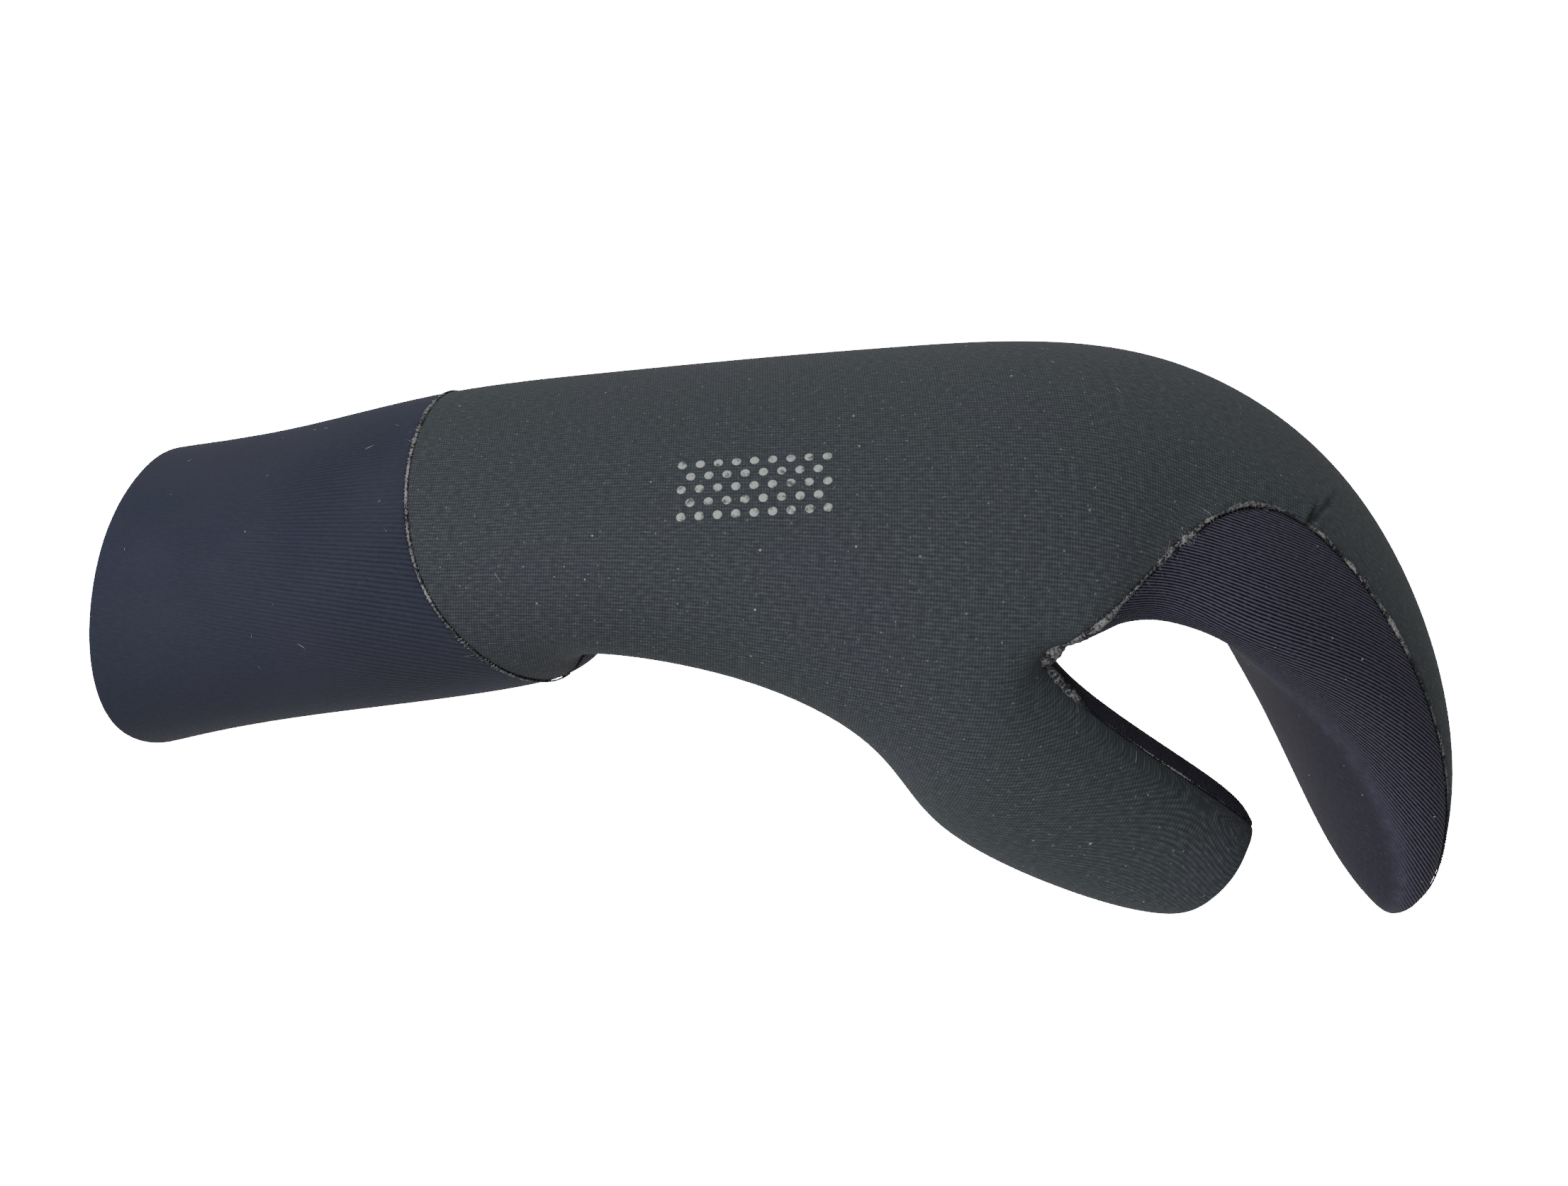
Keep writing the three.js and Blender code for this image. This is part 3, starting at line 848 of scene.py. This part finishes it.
def thread_material(name, pale, dark):
    """Thread that is pale or dark by its own paleness, grubby in patches."""
    material, tree, shader = new_material(name, 0.15)
    whole = tree.nodes.new("ShaderNodeTexCoord").outputs["Object"]
    own = tree.nodes.new("ShaderNodeAttribute")
    own.attribute_name = PALENESS
    fine = noise(tree, whole, 2300, 2, 0.6)
    broad = noise(tree, whole, 420, 2)
    grubby = total(tree, product(tree, fine, 0.6), product(tree, broad, 0.4))
    level = product(tree, own.outputs["Fac"], carried(tree, grubby, 0.44, 0.57, 0.02, 1.5))
    tree.links.new(mixed(tree, level, dark, pale), shader.inputs["Base Color"])
    tree.links.new(carried(tree, fine, 0.3, 0.7, 0.65, 0.95), shader.inputs["Roughness"])
    feed_bump(tree, shader, fine, 0.5, 0.08 * MM)
    return material


def print_material(colour):
    """Pale rubbery print, worn thin in places."""
    material, tree, shader = new_material("Pale print", 0.3)
    whole = tree.nodes.new("ShaderNodeTexCoord").outputs["Object"]
    wear_and_highlight = noise(tree, whole, 900, 3, 0.6)
    base = mixed(tree, carried(tree, wear_and_highlight, 0.36, 0.52), times(colour, 0.25), colour)
    tree.links.new(base, shader.inputs["Base Color"])
    tree.links.new(carried(tree, wear_and_highlight, 0.3, 0.7, 0.75, 0.5), shader.inputs["Roughness"])
    feed_bump(tree, shader, wear_and_highlight, 0.4, 0.05 * MM)
    return material


# Cloth panels


class MITTEN_OT_cuff(bpy.types.Operator):
    """Makes the tubular cuff"""

    bl_idname = "mitten.cuff"
    bl_label = "Cuff"

    def execute(self, context):
        sizes = context.scene.mitten_cloth
        piece = copy_of_node("cuff", "cuff_cloth")
        round_edges(piece, sizes)
        level = points_of(piece) @ np.array(Matrix.Rotation(-CUFF_SLOPE, 3, "Y")).T
        low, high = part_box("cuff")
        radius = (high.y - low.y + high.z - low.z) / CUFF_SIZES_TO_RADIUS
        whole = round(math.tau * radius / sizes.cuff_rib_pitch) * sizes.cuff_rib_pitch
        angle = np.arctan2(level[:, 1], level[:, 2])
        layer, both = write_map(piece, level[:, 0], angle / math.tau * whole)
        close_wrap(piece, layer, both, whole)
        smooth_panel(piece, sizes)
        finish_piece(piece, cuff_material(sizes), ["cuff"])
        return {"FINISHED"}


class MITTEN_OT_back_panel(bpy.types.Operator):
    """Makes the back panel, which also wraps the thumb"""

    bl_idname = "mitten.back_panel"
    bl_label = "Back panel"

    def execute(self, context):
        sizes = context.scene.mitten_cloth
        piece = copy_of_node("back_panel", "back_cloth")
        round_edges(piece, sizes)
        ahead, outward = hand_directions(points_of(piece))
        normals = normals_of(piece)
        around = along_surface(np.cross(ahead, outward), normals)
        lay_flat(piece, along_surface(ahead, normals), around)
        smooth_panel(piece, sizes)
        creases = creases_on(piece)
        press_creases(piece, creases)
        finish_piece(piece, back_material(sizes, creases), ["back_panel"])
        return {"FINISHED"}


def off_line(points, start, end):
    """How far points lie from a straight line, and the share of the line that they have passed."""
    whole = end - start
    share = np.clip((points - start) @ whole / (whole @ whole), 0, 1)
    return np.linalg.norm(points - start - share[:, None] * whole, axis=1), share


def creases_on(piece):
    """Each crease's two halves: both ends, how much of the depth has gone at the far end, the depth at the
    near end and the half width, in metres."""
    surface = tree_of(piece.data)
    halves = []
    for first, last, depth, half_width in CREASES:
        (a, out_a, _, _), (b, out_b, _, _) = (surface.find_nearest(Vector(p) * MM) for p in (first, last))
        out = (out_a + out_b).normalized()
        middle = np.array(surface.ray_cast((a + b) / 2 + out * ABOVE_CLOTH, -out)[0])
        a, b = np.array(a), np.array(b)
        halves.append((a, middle, NEAR_HALF_FADE, depth * MM, half_width * MM))
        halves.append((middle, b, FAR_HALF_FADE, FAR_HALF_DEPTH * depth * MM, half_width * MM))
    return halves


def press_creases(piece, creases):
    """Makes the mesh finer beside the creases and presses them in."""
    for reach in FINER_WITHIN:
        only(piece)
        bpy.ops.object.mode_set(mode="EDIT")
        bpy.ops.mesh.select_mode(type="FACE")
        bpy.ops.mesh.select_all(action="DESELECT")
        bpy.ops.object.mode_set(mode="OBJECT")
        centres = np.array([face.center for face in piece.data.polygons])
        near = np.min([off_line(centres, a, b)[0] for a, b, _, _, _ in creases], axis=0) < reach
        piece.data.polygons.foreach_set("select", near)
        bpy.ops.object.mode_set(mode="EDIT")
        bpy.ops.mesh.subdivide(number_cuts=1, smoothness=0.5)
        bpy.ops.object.mode_set(mode="OBJECT")
    points = points_of(piece)
    normals = normals_of(piece)
    deepest = np.zeros(len(points))
    for a, b, fade, depth, width in creases:
        off, share = off_line(points, a, b)
        bank = BANK_HEIGHT * np.exp(-((off - BANK_PLACE * width) / width) ** 2)
        pressed = depth * (1 - fade * share) * (np.exp(-(off / width) ** 2) - bank)
        deepest = np.where(np.abs(pressed) > np.abs(deepest), pressed, deepest)
    move_points(piece, points - normals * deepest[:, None])


class MITTEN_OT_palm_panel(bpy.types.Operator):
    """Makes the ribbed palm panel"""

    bl_idname = "mitten.palm_panel"
    bl_label = "Palm panel"

    def execute(self, context):
        sizes = context.scene.mitten_cloth
        piece = copy_of_node("palm_panel", "palm_cloth")
        round_edges(piece, sizes)
        points = points_of(piece)
        normals = normals_of(piece)
        ahead, outward = hand_directions(points)
        around = along_surface(np.cross(ahead, outward), normals)
        x, y, z = points.T
        inside_curl = np.hypot(x - CURL_X, z - CURL_Z) < THUMB_REACH
        thumb = inside_curl & (x > THUMB_START_X) & (y < THUMB_SIDE_Y)
        thumb &= z < CROTCH_Z - CROTCH_FALL * (x - CROTCH_X)
        down_thumb = np.array([math.cos(THUMB_SLOPE), 0, -math.sin(THUMB_SLOPE)])
        down_thumb = along_surface(np.tile(down_thumb, (len(points), 1)), normals)
        around = np.where(thumb[:, None], down_thumb / THUMB_RIB_SHARE, around)
        lay_flat(piece, along_surface(ahead, normals), around)
        smooth_panel(piece, sizes)
        finish_piece(piece, palm_material(sizes), ["palm_panel"])
        return {"FINISHED"}


# Seams


def outer_rim(node_name, neighbours):
    """The closed outer edge of a panel's rim: the longer of the two edges round the faces that look at the
    neighbours across the seam's gap."""
    across_gap = tree_of(*(frame["nodes"][name].data for name in neighbours))
    solid = bmesh.new()
    solid.from_mesh(frame["nodes"][node_name].data)
    bmesh.ops.remove_doubles(solid, verts=solid.verts, dist=SAME_POINT_WITHIN)
    bmesh.ops.join_triangles(solid, faces=solid.faces, angle_face_threshold=math.pi,
                             angle_shape_threshold=math.pi, topology_influence=1.0)
    solid.edges.index_update()
    facing = {f for f in solid.faces
              if across_gap.ray_cast(f.calc_center_median(), f.normal, LOOK_ACROSS)[0] is not None}
    border = {e for e in solid.edges if sum(f in facing for f in e.link_faces) == 1}
    loops = []
    while border:
        edge = min(border, key=lambda e: e.index)
        chain = [edge.verts[0]]
        while edge is not None:
            border.discard(edge)
            chain.append(edge.other_vert(chain[-1]))
            edge = next((e for e in chain[-1].link_edges if e in border), None)
        loops.append(np.array([v.co for v in chain]))
    solid.free()
    return max(loops, key=lambda loop: np.linalg.norm(np.diff(loop, axis=0), axis=1).sum())


def is_closed(path):
    """Whether a path ends where it starts."""
    return np.linalg.norm(path[0] - path[-1]) < CLOSED_WITHIN


def even_path(points, spacing):
    """A smooth path through the points, in even steps."""
    steps = np.linalg.norm(np.diff(points, axis=0), axis=1)
    reach = np.concatenate(([0], np.cumsum(steps)))
    places = np.linspace(0, reach[-1], max(3, round(reach[-1] / spacing)))
    path = np.column_stack([np.interp(places, reach, points[:, k]) for k in range(3)])
    closed = is_closed(path)
    for _ in range(PATH_ROUNDS):
        if closed:
            ring = path[:-1]
            ring = (np.roll(ring, 1, 0) + 2 * ring + np.roll(ring, -1, 0)) / 4
            path = np.vstack((ring, ring[:1]))
        else:
            path[1:-1] = (path[:-2] + 2 * path[1:-1] + path[2:]) / 4
    return path


def cloth_surface():
    """The three finished panels as one tree for nearest points."""
    return tree_of(*(bpy.data.objects[name].data for name in ("cuff_cloth", "back_cloth", "palm_cloth")))


def frames_along(path, surface):
    """The way along, out of and across a seam at each point of its path."""
    tangent = unit(np.gradient(path, axis=0))
    nudges = [Vector(n) * OUT_REACH for n in
              ((0, 0, 0), (1, 0, 0), (-1, 0, 0), (0, 1, 0), (0, -1, 0), (0, 0, 1), (0, 0, -1))]
    out = np.array([sum((surface.find_nearest(Vector(p) + n)[1] for n in nudges), Vector()) for p in path])
    for _ in range(OUT_ROUNDS):
        out[1:-1] = (out[:-2] + out[1:-1] + out[2:]) / 3
    out = unit(out - (out * tangent).sum(1)[:, None] * tangent)
    return tangent, out, np.cross(out, tangent)


def seam_look(path, name):
    """One value of the panel seam's look at each point of its path."""
    values = np.full(len(path), PLAIN_SEAM[name])
    shares = np.zeros(len(path))
    for stretch in SEAM_STRETCHES:
        off = np.linalg.norm(path - np.array(stretch["at"]) * MM, axis=1) / (stretch["reach"] * MM)
        share = np.clip(1.6 * (1 - off), 0, 1)
        take = share > shares
        values[take] = PLAIN_SEAM[name] + share[take] * (stretch[name] - PLAIN_SEAM[name])
        shares[take] = share[take]
    return values


def threads(name, strands, radius, closed=False, resolution=0):
    """Threads along paths, each strand with its points, its radii as shares, and its paleness."""
    bpy.ops.object.select_all(action="DESELECT")
    bpy.ops.curve.primitive_bezier_curve_add(location=(0, 0, 0))
    piece = bpy.context.active_object
    piece.name = name
    curve = piece.data
    curve.splines.clear()
    curve.dimensions = "3D"
    curve.twist_mode = "MINIMUM"
    curve.bevel_depth = radius
    curve.bevel_resolution = resolution
    curve.use_fill_caps = not closed
    for points, shares, _ in strands:
        spline = curve.splines.new("POLY")
        spline.points.add(len(points) - 1)
        spline.use_cyclic_u = closed
        spline.points.foreach_set("co", np.column_stack((points, np.ones(len(points)))).ravel())
        spline.points.foreach_set("radius", shares)
    only(piece)
    bpy.ops.object.convert(target="MESH")
    piece = bpy.context.active_object
    piece.data.name = name
    bpy.ops.object.mode_set(mode="EDIT")
    bpy.ops.mesh.select_all(action="SELECT")
    bpy.ops.mesh.remove_doubles(threshold=0.0001 * MM)
    bpy.ops.mesh.normals_make_consistent(inside=False)
    bpy.ops.object.mode_set(mode="OBJECT")
    bpy.ops.object.shade_smooth()
    return piece


def set_paleness(piece, strands):
    """Writes each point's paleness from the nearest point of the strands."""
    places = np.vstack([points for points, _, _ in strands])
    values = np.concatenate([np.broadcast_to(pale, len(points)) for points, _, pale in strands])
    found = values[nearest_of(places, points_of(piece))]
    attribute = piece.data.attributes.new(PALENESS, "FLOAT", "POINT")
    attribute.data.foreach_set("value", found.astype(np.float32))


def lay_bead(name, path, frames, breadths, pale, sizes, rng):
    """A low bead of glue and thread that lies along a seam."""
    out = frames[1]
    closed = is_closed(path)
    count = len(path) - 1 if closed else len(path)
    uneven = np.array([0.82 + 0.36 * rng.random() for _ in range(count)])
    strand = (path[:count], breadths[:count] * uneven, pale[:count])
    piece = threads(name, [strand], sizes.bead_width / 2, closed, 2)
    points = points_of(piece)
    near = nearest_of(path[:count], points)
    lift = ((points - path[near]) * out[near]).sum(1)
    least = 2 * sizes.bead_height / sizes.bead_width
    roundness = np.clip((breadths[near] - 1) / (ROUND_BREADTH - 1), 0, 1)
    flat = lift * (1 - least) * (roundness - 1)
    move_points(piece, points + out[near] * flat[:, None])
    set_paleness(piece, [strand])
    return piece


def lay_core(name, path, frames, off_rim):
    """The glue inside a seam, which closes the gap between the two cloths."""
    tangent, out, across = frames
    closed = is_closed(path)
    points = path - out * CORE_DEPTH + across * off_rim
    if closed:
        points = points[:-1][::CORE_THINNING]
    else:
        before = points[:1] - tangent[:1] * CORE_OVERRUN
        after = points[-1:] + tangent[-1:] * CORE_OVERRUN
        points = np.vstack((before, points[:-1][::CORE_THINNING], after))
    strand = (points, np.ones(len(points)), np.zeros(len(points)))
    piece = threads(name, [strand], CORE_RADIUS, closed, 1)
    set_paleness(piece, [strand])
    return piece


def lay_stitches(name, path, frames, breadths, pale, sizes, rng):
    """Short threads that cross a seam, side by side."""
    tangent, out, across = frames
    strands = []
    for i in range(len(path) - 1):
        lean = (rng.random() - 0.5) * 0.55
        length = sizes.stitch_length * (0.7 + 0.5 * rng.random()) * min(1.25, max(0.7, breadths[i]))
        way = across[i] + tangent[i] * lean
        middle = path[i] + out[i] * sizes.bead_height * 0.8
        points = np.array([middle + way * length * share - out[i] * sizes.bead_height * drop
                           for share, drop in STITCH_SHAPE])
        strands.append((points, STITCH_TAPER, pale[i] * (0.7 + 0.6 * rng.random())))
    piece = threads(name, strands, sizes.thread_radius)
    set_paleness(piece, strands)
    return piece


def lay_loose_ends(name, path, frames, ends, pale, surface, sizes, rng):
    """Frayed fibres that stand away from a seam over the cloth."""
    tangent, _, across = frames
    step = np.linalg.norm(path[1] - path[0])
    strands = []
    for i in range(len(path) - 1):
        wanted = ends[i] * step / MM
        for _ in range(int(wanted) + (rng.random() < wanted % 1)):
            side = 1 if rng.random() < 0.5 else -1
            way = side * across[i] * (0.3 + rng.random()) + tangent[i] * (rng.random() - 0.5) * 2.2
            bend = tangent[i] * (rng.random() - 0.5) * 0.9
            length = sizes.end_length * (0.35 + rng.random())
            lift = (0.08 + 0.3 * rng.random()) * MM
            points = []
            for share in END_SHARES:
                place = path[i] + (way + bend * share) * length * share
                near, normal, _, _ = surface.find_nearest(Vector(place))
                points.append(np.array(near + normal * (0.04 * MM + lift * share)))
            paleness = min(1, pale[i] * (0.3 + 1.3 * rng.random()))
            strands.append((np.array(points), END_TAPER, paleness))
    piece = threads(name, strands, sizes.end_radius)
    set_paleness(piece, strands)
    return piece


class MITTEN_OT_cuff_seam(bpy.types.Operator):
    """Sews the cuff to the panels"""

    bl_idname = "mitten.cuff_seam"
    bl_label = "Cuff seam"

    def execute(self, context):
        sizes = context.scene.mitten_seams
        rng = random.Random(3)
        surface = cloth_surface()
        loop = outer_rim("cuff", ["back_panel", "palm_panel"])
        material = thread_material("Seam thread", tuple(sizes.pale_colour), tuple(sizes.dark_colour))
        loop = loop + np.array([SEAM_SHIFT, 0, 0])
        fine = even_path(loop, PATH_STEP)
        frames = frames_along(fine, surface)
        height = (fine[:, 2] - fine[:, 2].min()) / np.ptp(fine[:, 2])
        patches = 0.8 + 0.3 * np.sin(fine[:, 2] / PATCH_LENGTH)
        # Painted shade: the seam's thread is darker on the cuff's lower part
        pale = np.where(height > PALE_ABOVE, 0.8, 0.3) * patches
        bead = lay_bead("cuff_seam_bead", fine, frames, np.full(len(fine), 0.6), pale, sizes, rng)
        finish_piece(bead, material)
        finish_piece(lay_core("cuff_seam_core", fine, frames, 0), material)
        coarse = even_path(loop, sizes.stitch_spacing)
        frames = frames_along(coarse, surface)
        even = np.ones(len(coarse))
        stitches = lay_stitches("cuff_seam_stitches", coarse, frames, even * 0.8, even * 0.75, sizes, rng)
        finish_piece(stitches, material)
        ends = lay_loose_ends("cuff_seam_ends", coarse, frames, even * 0.4, even * 0.6, surface, sizes, rng)
        finish_piece(ends, material)
        return {"FINISHED"}


class MITTEN_OT_panel_seam(bpy.types.Operator):
    """Sews the back panel to the palm panel"""

    bl_idname = "mitten.panel_seam"
    bl_label = "Panel seam"

    def execute(self, context):
        sizes = context.scene.mitten_seams
        rng = random.Random(5)
        surface = cloth_surface()
        stretch = self.stretch_off_cuff()
        material = thread_material("Panel seam thread", tuple(sizes.pale_colour), tuple(sizes.dark_colour))
        fine = even_path(stretch, PATH_STEP)
        frames = frames_along(fine, surface)
        look = {name: seam_look(fine, name) for name in PLAIN_SEAM}
        bead = lay_bead("panel_seam_bead", fine, frames, look["breadth"], look["paleness"], sizes, rng)
        finish_piece(bead, material)
        finish_piece(lay_core("panel_seam_core", fine, frames, CORE_OFF_RIM), material)
        ends = lay_loose_ends("panel_seam_ends", fine, frames, look["ends"], look["paleness"], surface,
                              sizes, rng)
        finish_piece(ends, material)
        coarse = even_path(stretch, sizes.stitch_spacing)
        frames = frames_along(coarse, surface)
        look = {name: seam_look(coarse, name) for name in PLAIN_SEAM}
        stitches = lay_stitches("panel_seam_stitches", coarse, frames, look["breadth"], look["paleness"],
                                sizes,
                                rng)
        finish_piece(stitches, material)
        return {"FINISHED"}

    @staticmethod
    def stretch_off_cuff():
        """The back panel's outer rim, without the part that the cuff's seam covers."""
        loop = outer_rim("back_panel", ["cuff", "palm_panel"])[:-1]
        cuff = tree_of(frame["nodes"]["cuff"].data)
        off = [cuff.find_nearest(Vector(point))[3] > ON_CUFF_WITHIN for point in loop]
        start = next(i for i in range(len(loop)) if off[i] and not off[i - 1])
        turned = [(start + i) % len(loop) for i in range(len(loop))]
        return np.array([loop[i] for i in turned if off[i]])


# Print and lint


class MITTEN_OT_print(bpy.types.Operator):
    """Prints a plain lattice of dots on the back"""

    bl_idname = "mitten.print"
    bl_label = "Dot print"

    def execute(self, context):
        sizes = context.scene.mitten_trim
        dot = self.make_dot(sizes)
        surface = cloth_surface()
        middle = Vector(PRINT_AT)
        out = Vector(PRINT_OUT).normalized()
        along = (Vector((1, 0, 0)) - out * out.x).normalized()
        across = out.cross(along)
        dots = []
        for row in range(PRINT_ROWS):
            for column in range(PRINT_COLUMNS - row % 2):
                step = (column + (row % 2) / 2 - (PRINT_COLUMNS - 1) / 2) * sizes.dot_pitch
                rise = (row - (PRINT_ROWS - 1) / 2) * sizes.dot_pitch * ROW_PITCH_SHARE
                near, normal, _, _ = surface.find_nearest(middle + along * step + across * rise)
                copy = dot.copy()
                copy.data = dot.data.copy()
                context.scene.collection.objects.link(copy)
                copy.rotation_mode = "QUATERNION"
                copy.rotation_quaternion = normal.to_track_quat("Z", "Y")
                copy.location = near
                dots.append(copy)
        bpy.data.objects.remove(dot)
        bpy.ops.object.select_all(action="DESELECT")
        for copy in dots:
            copy.select_set(True)
        context.view_layer.objects.active = dots[0]
        bpy.ops.object.join()
        piece = context.active_object
        piece.name = "print_dots"
        piece.data.name = "print_dots"
        bpy.ops.object.transform_apply(location=True, rotation=True, scale=True)
        bpy.ops.object.shade_smooth()
        finish_piece(piece, print_material(tuple(sizes.dot_colour)))
        return {"FINISHED"}

    @staticmethod
    def make_dot(sizes):
        """One low round dot with a soft edge, closed below."""
        bpy.ops.object.select_all(action="DESELECT")
        bpy.ops.mesh.primitive_uv_sphere_add(segments=14, ring_count=8, radius=sizes.dot_radius)
        bpy.ops.object.mode_set(mode="EDIT")
        bpy.ops.mesh.bisect(plane_co=(0, 0, 0), plane_no=(0, 0, 1), clear_inner=True, use_fill=True)
        bpy.ops.object.mode_set(mode="OBJECT")
        dot = bpy.context.active_object
        points = points_of(dot)
        level = np.maximum(points[:, 2] / sizes.dot_radius, 0)
        points[:, 2] = np.where(level > 0.01, sizes.dot_height * level ** 0.4, -0.1 * MM)
        move_points(dot, points)
        return dot


class MITTEN_OT_lint(bpy.types.Operator):
    """Scatters short pale fibres over the cuff and the back"""

    bl_idname = "mitten.lint"
    bl_label = "Lint"

    def execute(self, context):
        sizes = context.scene.mitten_trim
        rng = random.Random(11)
        surface = cloth_surface()
        strands = []
        while len(strands) < sizes.lint_count:
            start = Vector((rng.uniform(*LINT_X), rng.uniform(*LINT_Y), LINT_FROM_Z))
            place, normal, _, _ = surface.ray_cast(start, Vector(LINT_FALL))
            if place is None or normal.z < 0:
                continue
            way = normal.cross(Vector((rng.random() - 0.5, rng.random() - 0.5,
                                       rng.random() - 0.5))).normalized()
            bend = normal.cross(way) * rng.uniform(-0.5, 0.5)
            length = rng.uniform(0.5, 1.9) * MM
            points = []
            for share in LINT_SHARES:
                near, out, _, _ = surface.find_nearest(place + (way + bend * share) * length * share)
                points.append(np.array(near + out * 0.05 * MM))
            strands.append((np.array(points), LINT_TAPER, rng.uniform(0.3, 1)))
        piece = threads("lint_fibres", strands, LINT_RADIUS)
        set_paleness(piece, strands)
        colour = tuple(sizes.lint_colour)
        finish_piece(piece, thread_material("Lint", colour, times(colour, 0.2)))
        return {"FINISHED"}


# Stage


class MITTEN_OT_stage(bpy.types.Operator):
    """Sets the floor, the lights and the camera"""

    bl_idname = "mitten.stage"
    bl_label = "Stage"

    def execute(self, context):
        sizes = context.scene.mitten_stage
        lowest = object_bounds()[0].z
        middle = Vector(VIEW_MIDDLE)
        bpy.ops.object.select_all(action="DESELECT")
        place = (middle.x, 0, lowest - sizes.floor_gap)
        bpy.ops.mesh.primitive_plane_add(size=sizes.floor_size, location=place)
        floor = context.active_object
        floor.name = "floor"
        material, tree, shader = new_material("Pale floor", 0)
        shader.inputs["Base Color"].default_value = (0.97, 0.97, 0.97, 1)
        shader.inputs["Roughness"].default_value = 0.95
        shader.inputs["Emission Color"].default_value = (1, 1, 1, 1)
        self.glow(tree, shader.inputs["Emission Strength"], sizes.floor_glow, sizes.white_glow)
        floor.data.materials.append(material)
        floor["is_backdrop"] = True
        self.place_light("Key", middle, *KEY_LIGHT, sizes.key_power)
        self.place_light("Fill", middle, *FILL_LIGHT, sizes.fill_power)
        self.place_light("Back", middle, *BACK_LIGHT, sizes.back_power)
        world = bpy.data.worlds.new("Soft room")
        world.use_nodes = True
        world.node_tree.nodes["Background"].inputs["Color"].default_value = (1, 1, 1, 1)
        strength = world.node_tree.nodes["Background"].inputs["Strength"]
        self.glow(world.node_tree, strength, sizes.world_strength, sizes.white_glow)
        context.scene.world = world
        self.place_camera(context, middle, sizes)
        return {"FINISHED"}

    @staticmethod
    def glow(tree, socket, plain, seen):
        """A strength that is plain where it lights the mitten, and high where the camera sees it."""
        path = tree.nodes.new("ShaderNodeLightPath").outputs["Is Camera Ray"]
        tree.links.new(carried(tree, path, 0, 1, plain, seen), socket)

    @staticmethod
    def place_light(name, middle, offset, size, power):
        """A soft square light that looks at the mitten."""
        bpy.ops.object.light_add(type="AREA", location=middle + Vector(offset))
        light = bpy.context.active_object
        light.name = name
        light.data.shape = "SQUARE"
        light.data.size = size
        light.data.energy = power
        light.rotation_mode = "QUATERNION"
        light.rotation_quaternion = (-Vector(offset)).to_track_quat("-Z", "Y")

    @staticmethod
    def place_camera(context, middle, sizes):
        """Sets the camera on the thumb's side, above the back of the hand."""
        elevation = sizes.camera_elevation
        back = Vector((0, -math.cos(elevation), math.sin(elevation))) * sizes.camera_distance
        bpy.ops.object.camera_add(location=middle + back, rotation=(math.pi / 2 - elevation, 0, 0))
        camera = context.active_object
        camera.name = "Camera"
        camera.data.sensor_fit = "HORIZONTAL"
        camera.data.sensor_width = 36
        camera.data.lens = sizes.camera_lens
        camera.data.clip_start = 0.01
        context.scene.camera = camera


class MITTEN_PT_maker(bpy.types.Panel):
    """Lists the mitten's pieces in the sidebar"""

    bl_idname = "MITTEN_PT_maker"
    bl_label = "Mitten"
    bl_space_type = "VIEW_3D"
    bl_region_type = "UI"
    bl_category = "Mitten"

    def draw(self, context):
        for operator in OPERATORS:
            self.layout.operator(operator.bl_idname)
        for name, group in GROUPS.items():
            box = self.layout.box()
            for value in group.__annotations__:
                box.prop(getattr(context.scene, name), value)


GROUPS = {
    "mitten_cloth": ClothSizes,
    "mitten_seams": SeamSizes,
    "mitten_trim": TrimSizes,
    "mitten_stage": StageSizes,
}
OPERATORS = (
    MITTEN_OT_cuff,
    MITTEN_OT_back_panel,
    MITTEN_OT_palm_panel,
    MITTEN_OT_cuff_seam,
    MITTEN_OT_panel_seam,
    MITTEN_OT_print,
    MITTEN_OT_lint,
    MITTEN_OT_stage,
)
CLASSES = (*GROUPS.values(), *OPERATORS, MITTEN_PT_maker)


def register():
    for cls in CLASSES:
        bpy.utils.register_class(cls)
    for name, group in GROUPS.items():
        setattr(bpy.types.Scene, name, PointerProperty(type=group))


def unregister():
    for name in GROUPS:
        delattr(bpy.types.Scene, name)
    for cls in reversed(CLASSES):
        bpy.utils.unregister_class(cls)


def main():
    """Makes every piece in order."""
    register()
    bpy.ops.mitten.cuff()
    bpy.ops.mitten.back_panel()
    bpy.ops.mitten.palm_panel()
    bpy.ops.mitten.cuff_seam()
    bpy.ops.mitten.panel_seam()
    bpy.ops.mitten.print()
    bpy.ops.mitten.lint()
    bpy.ops.mitten.stage()


if __name__ == "__main__":
    main()
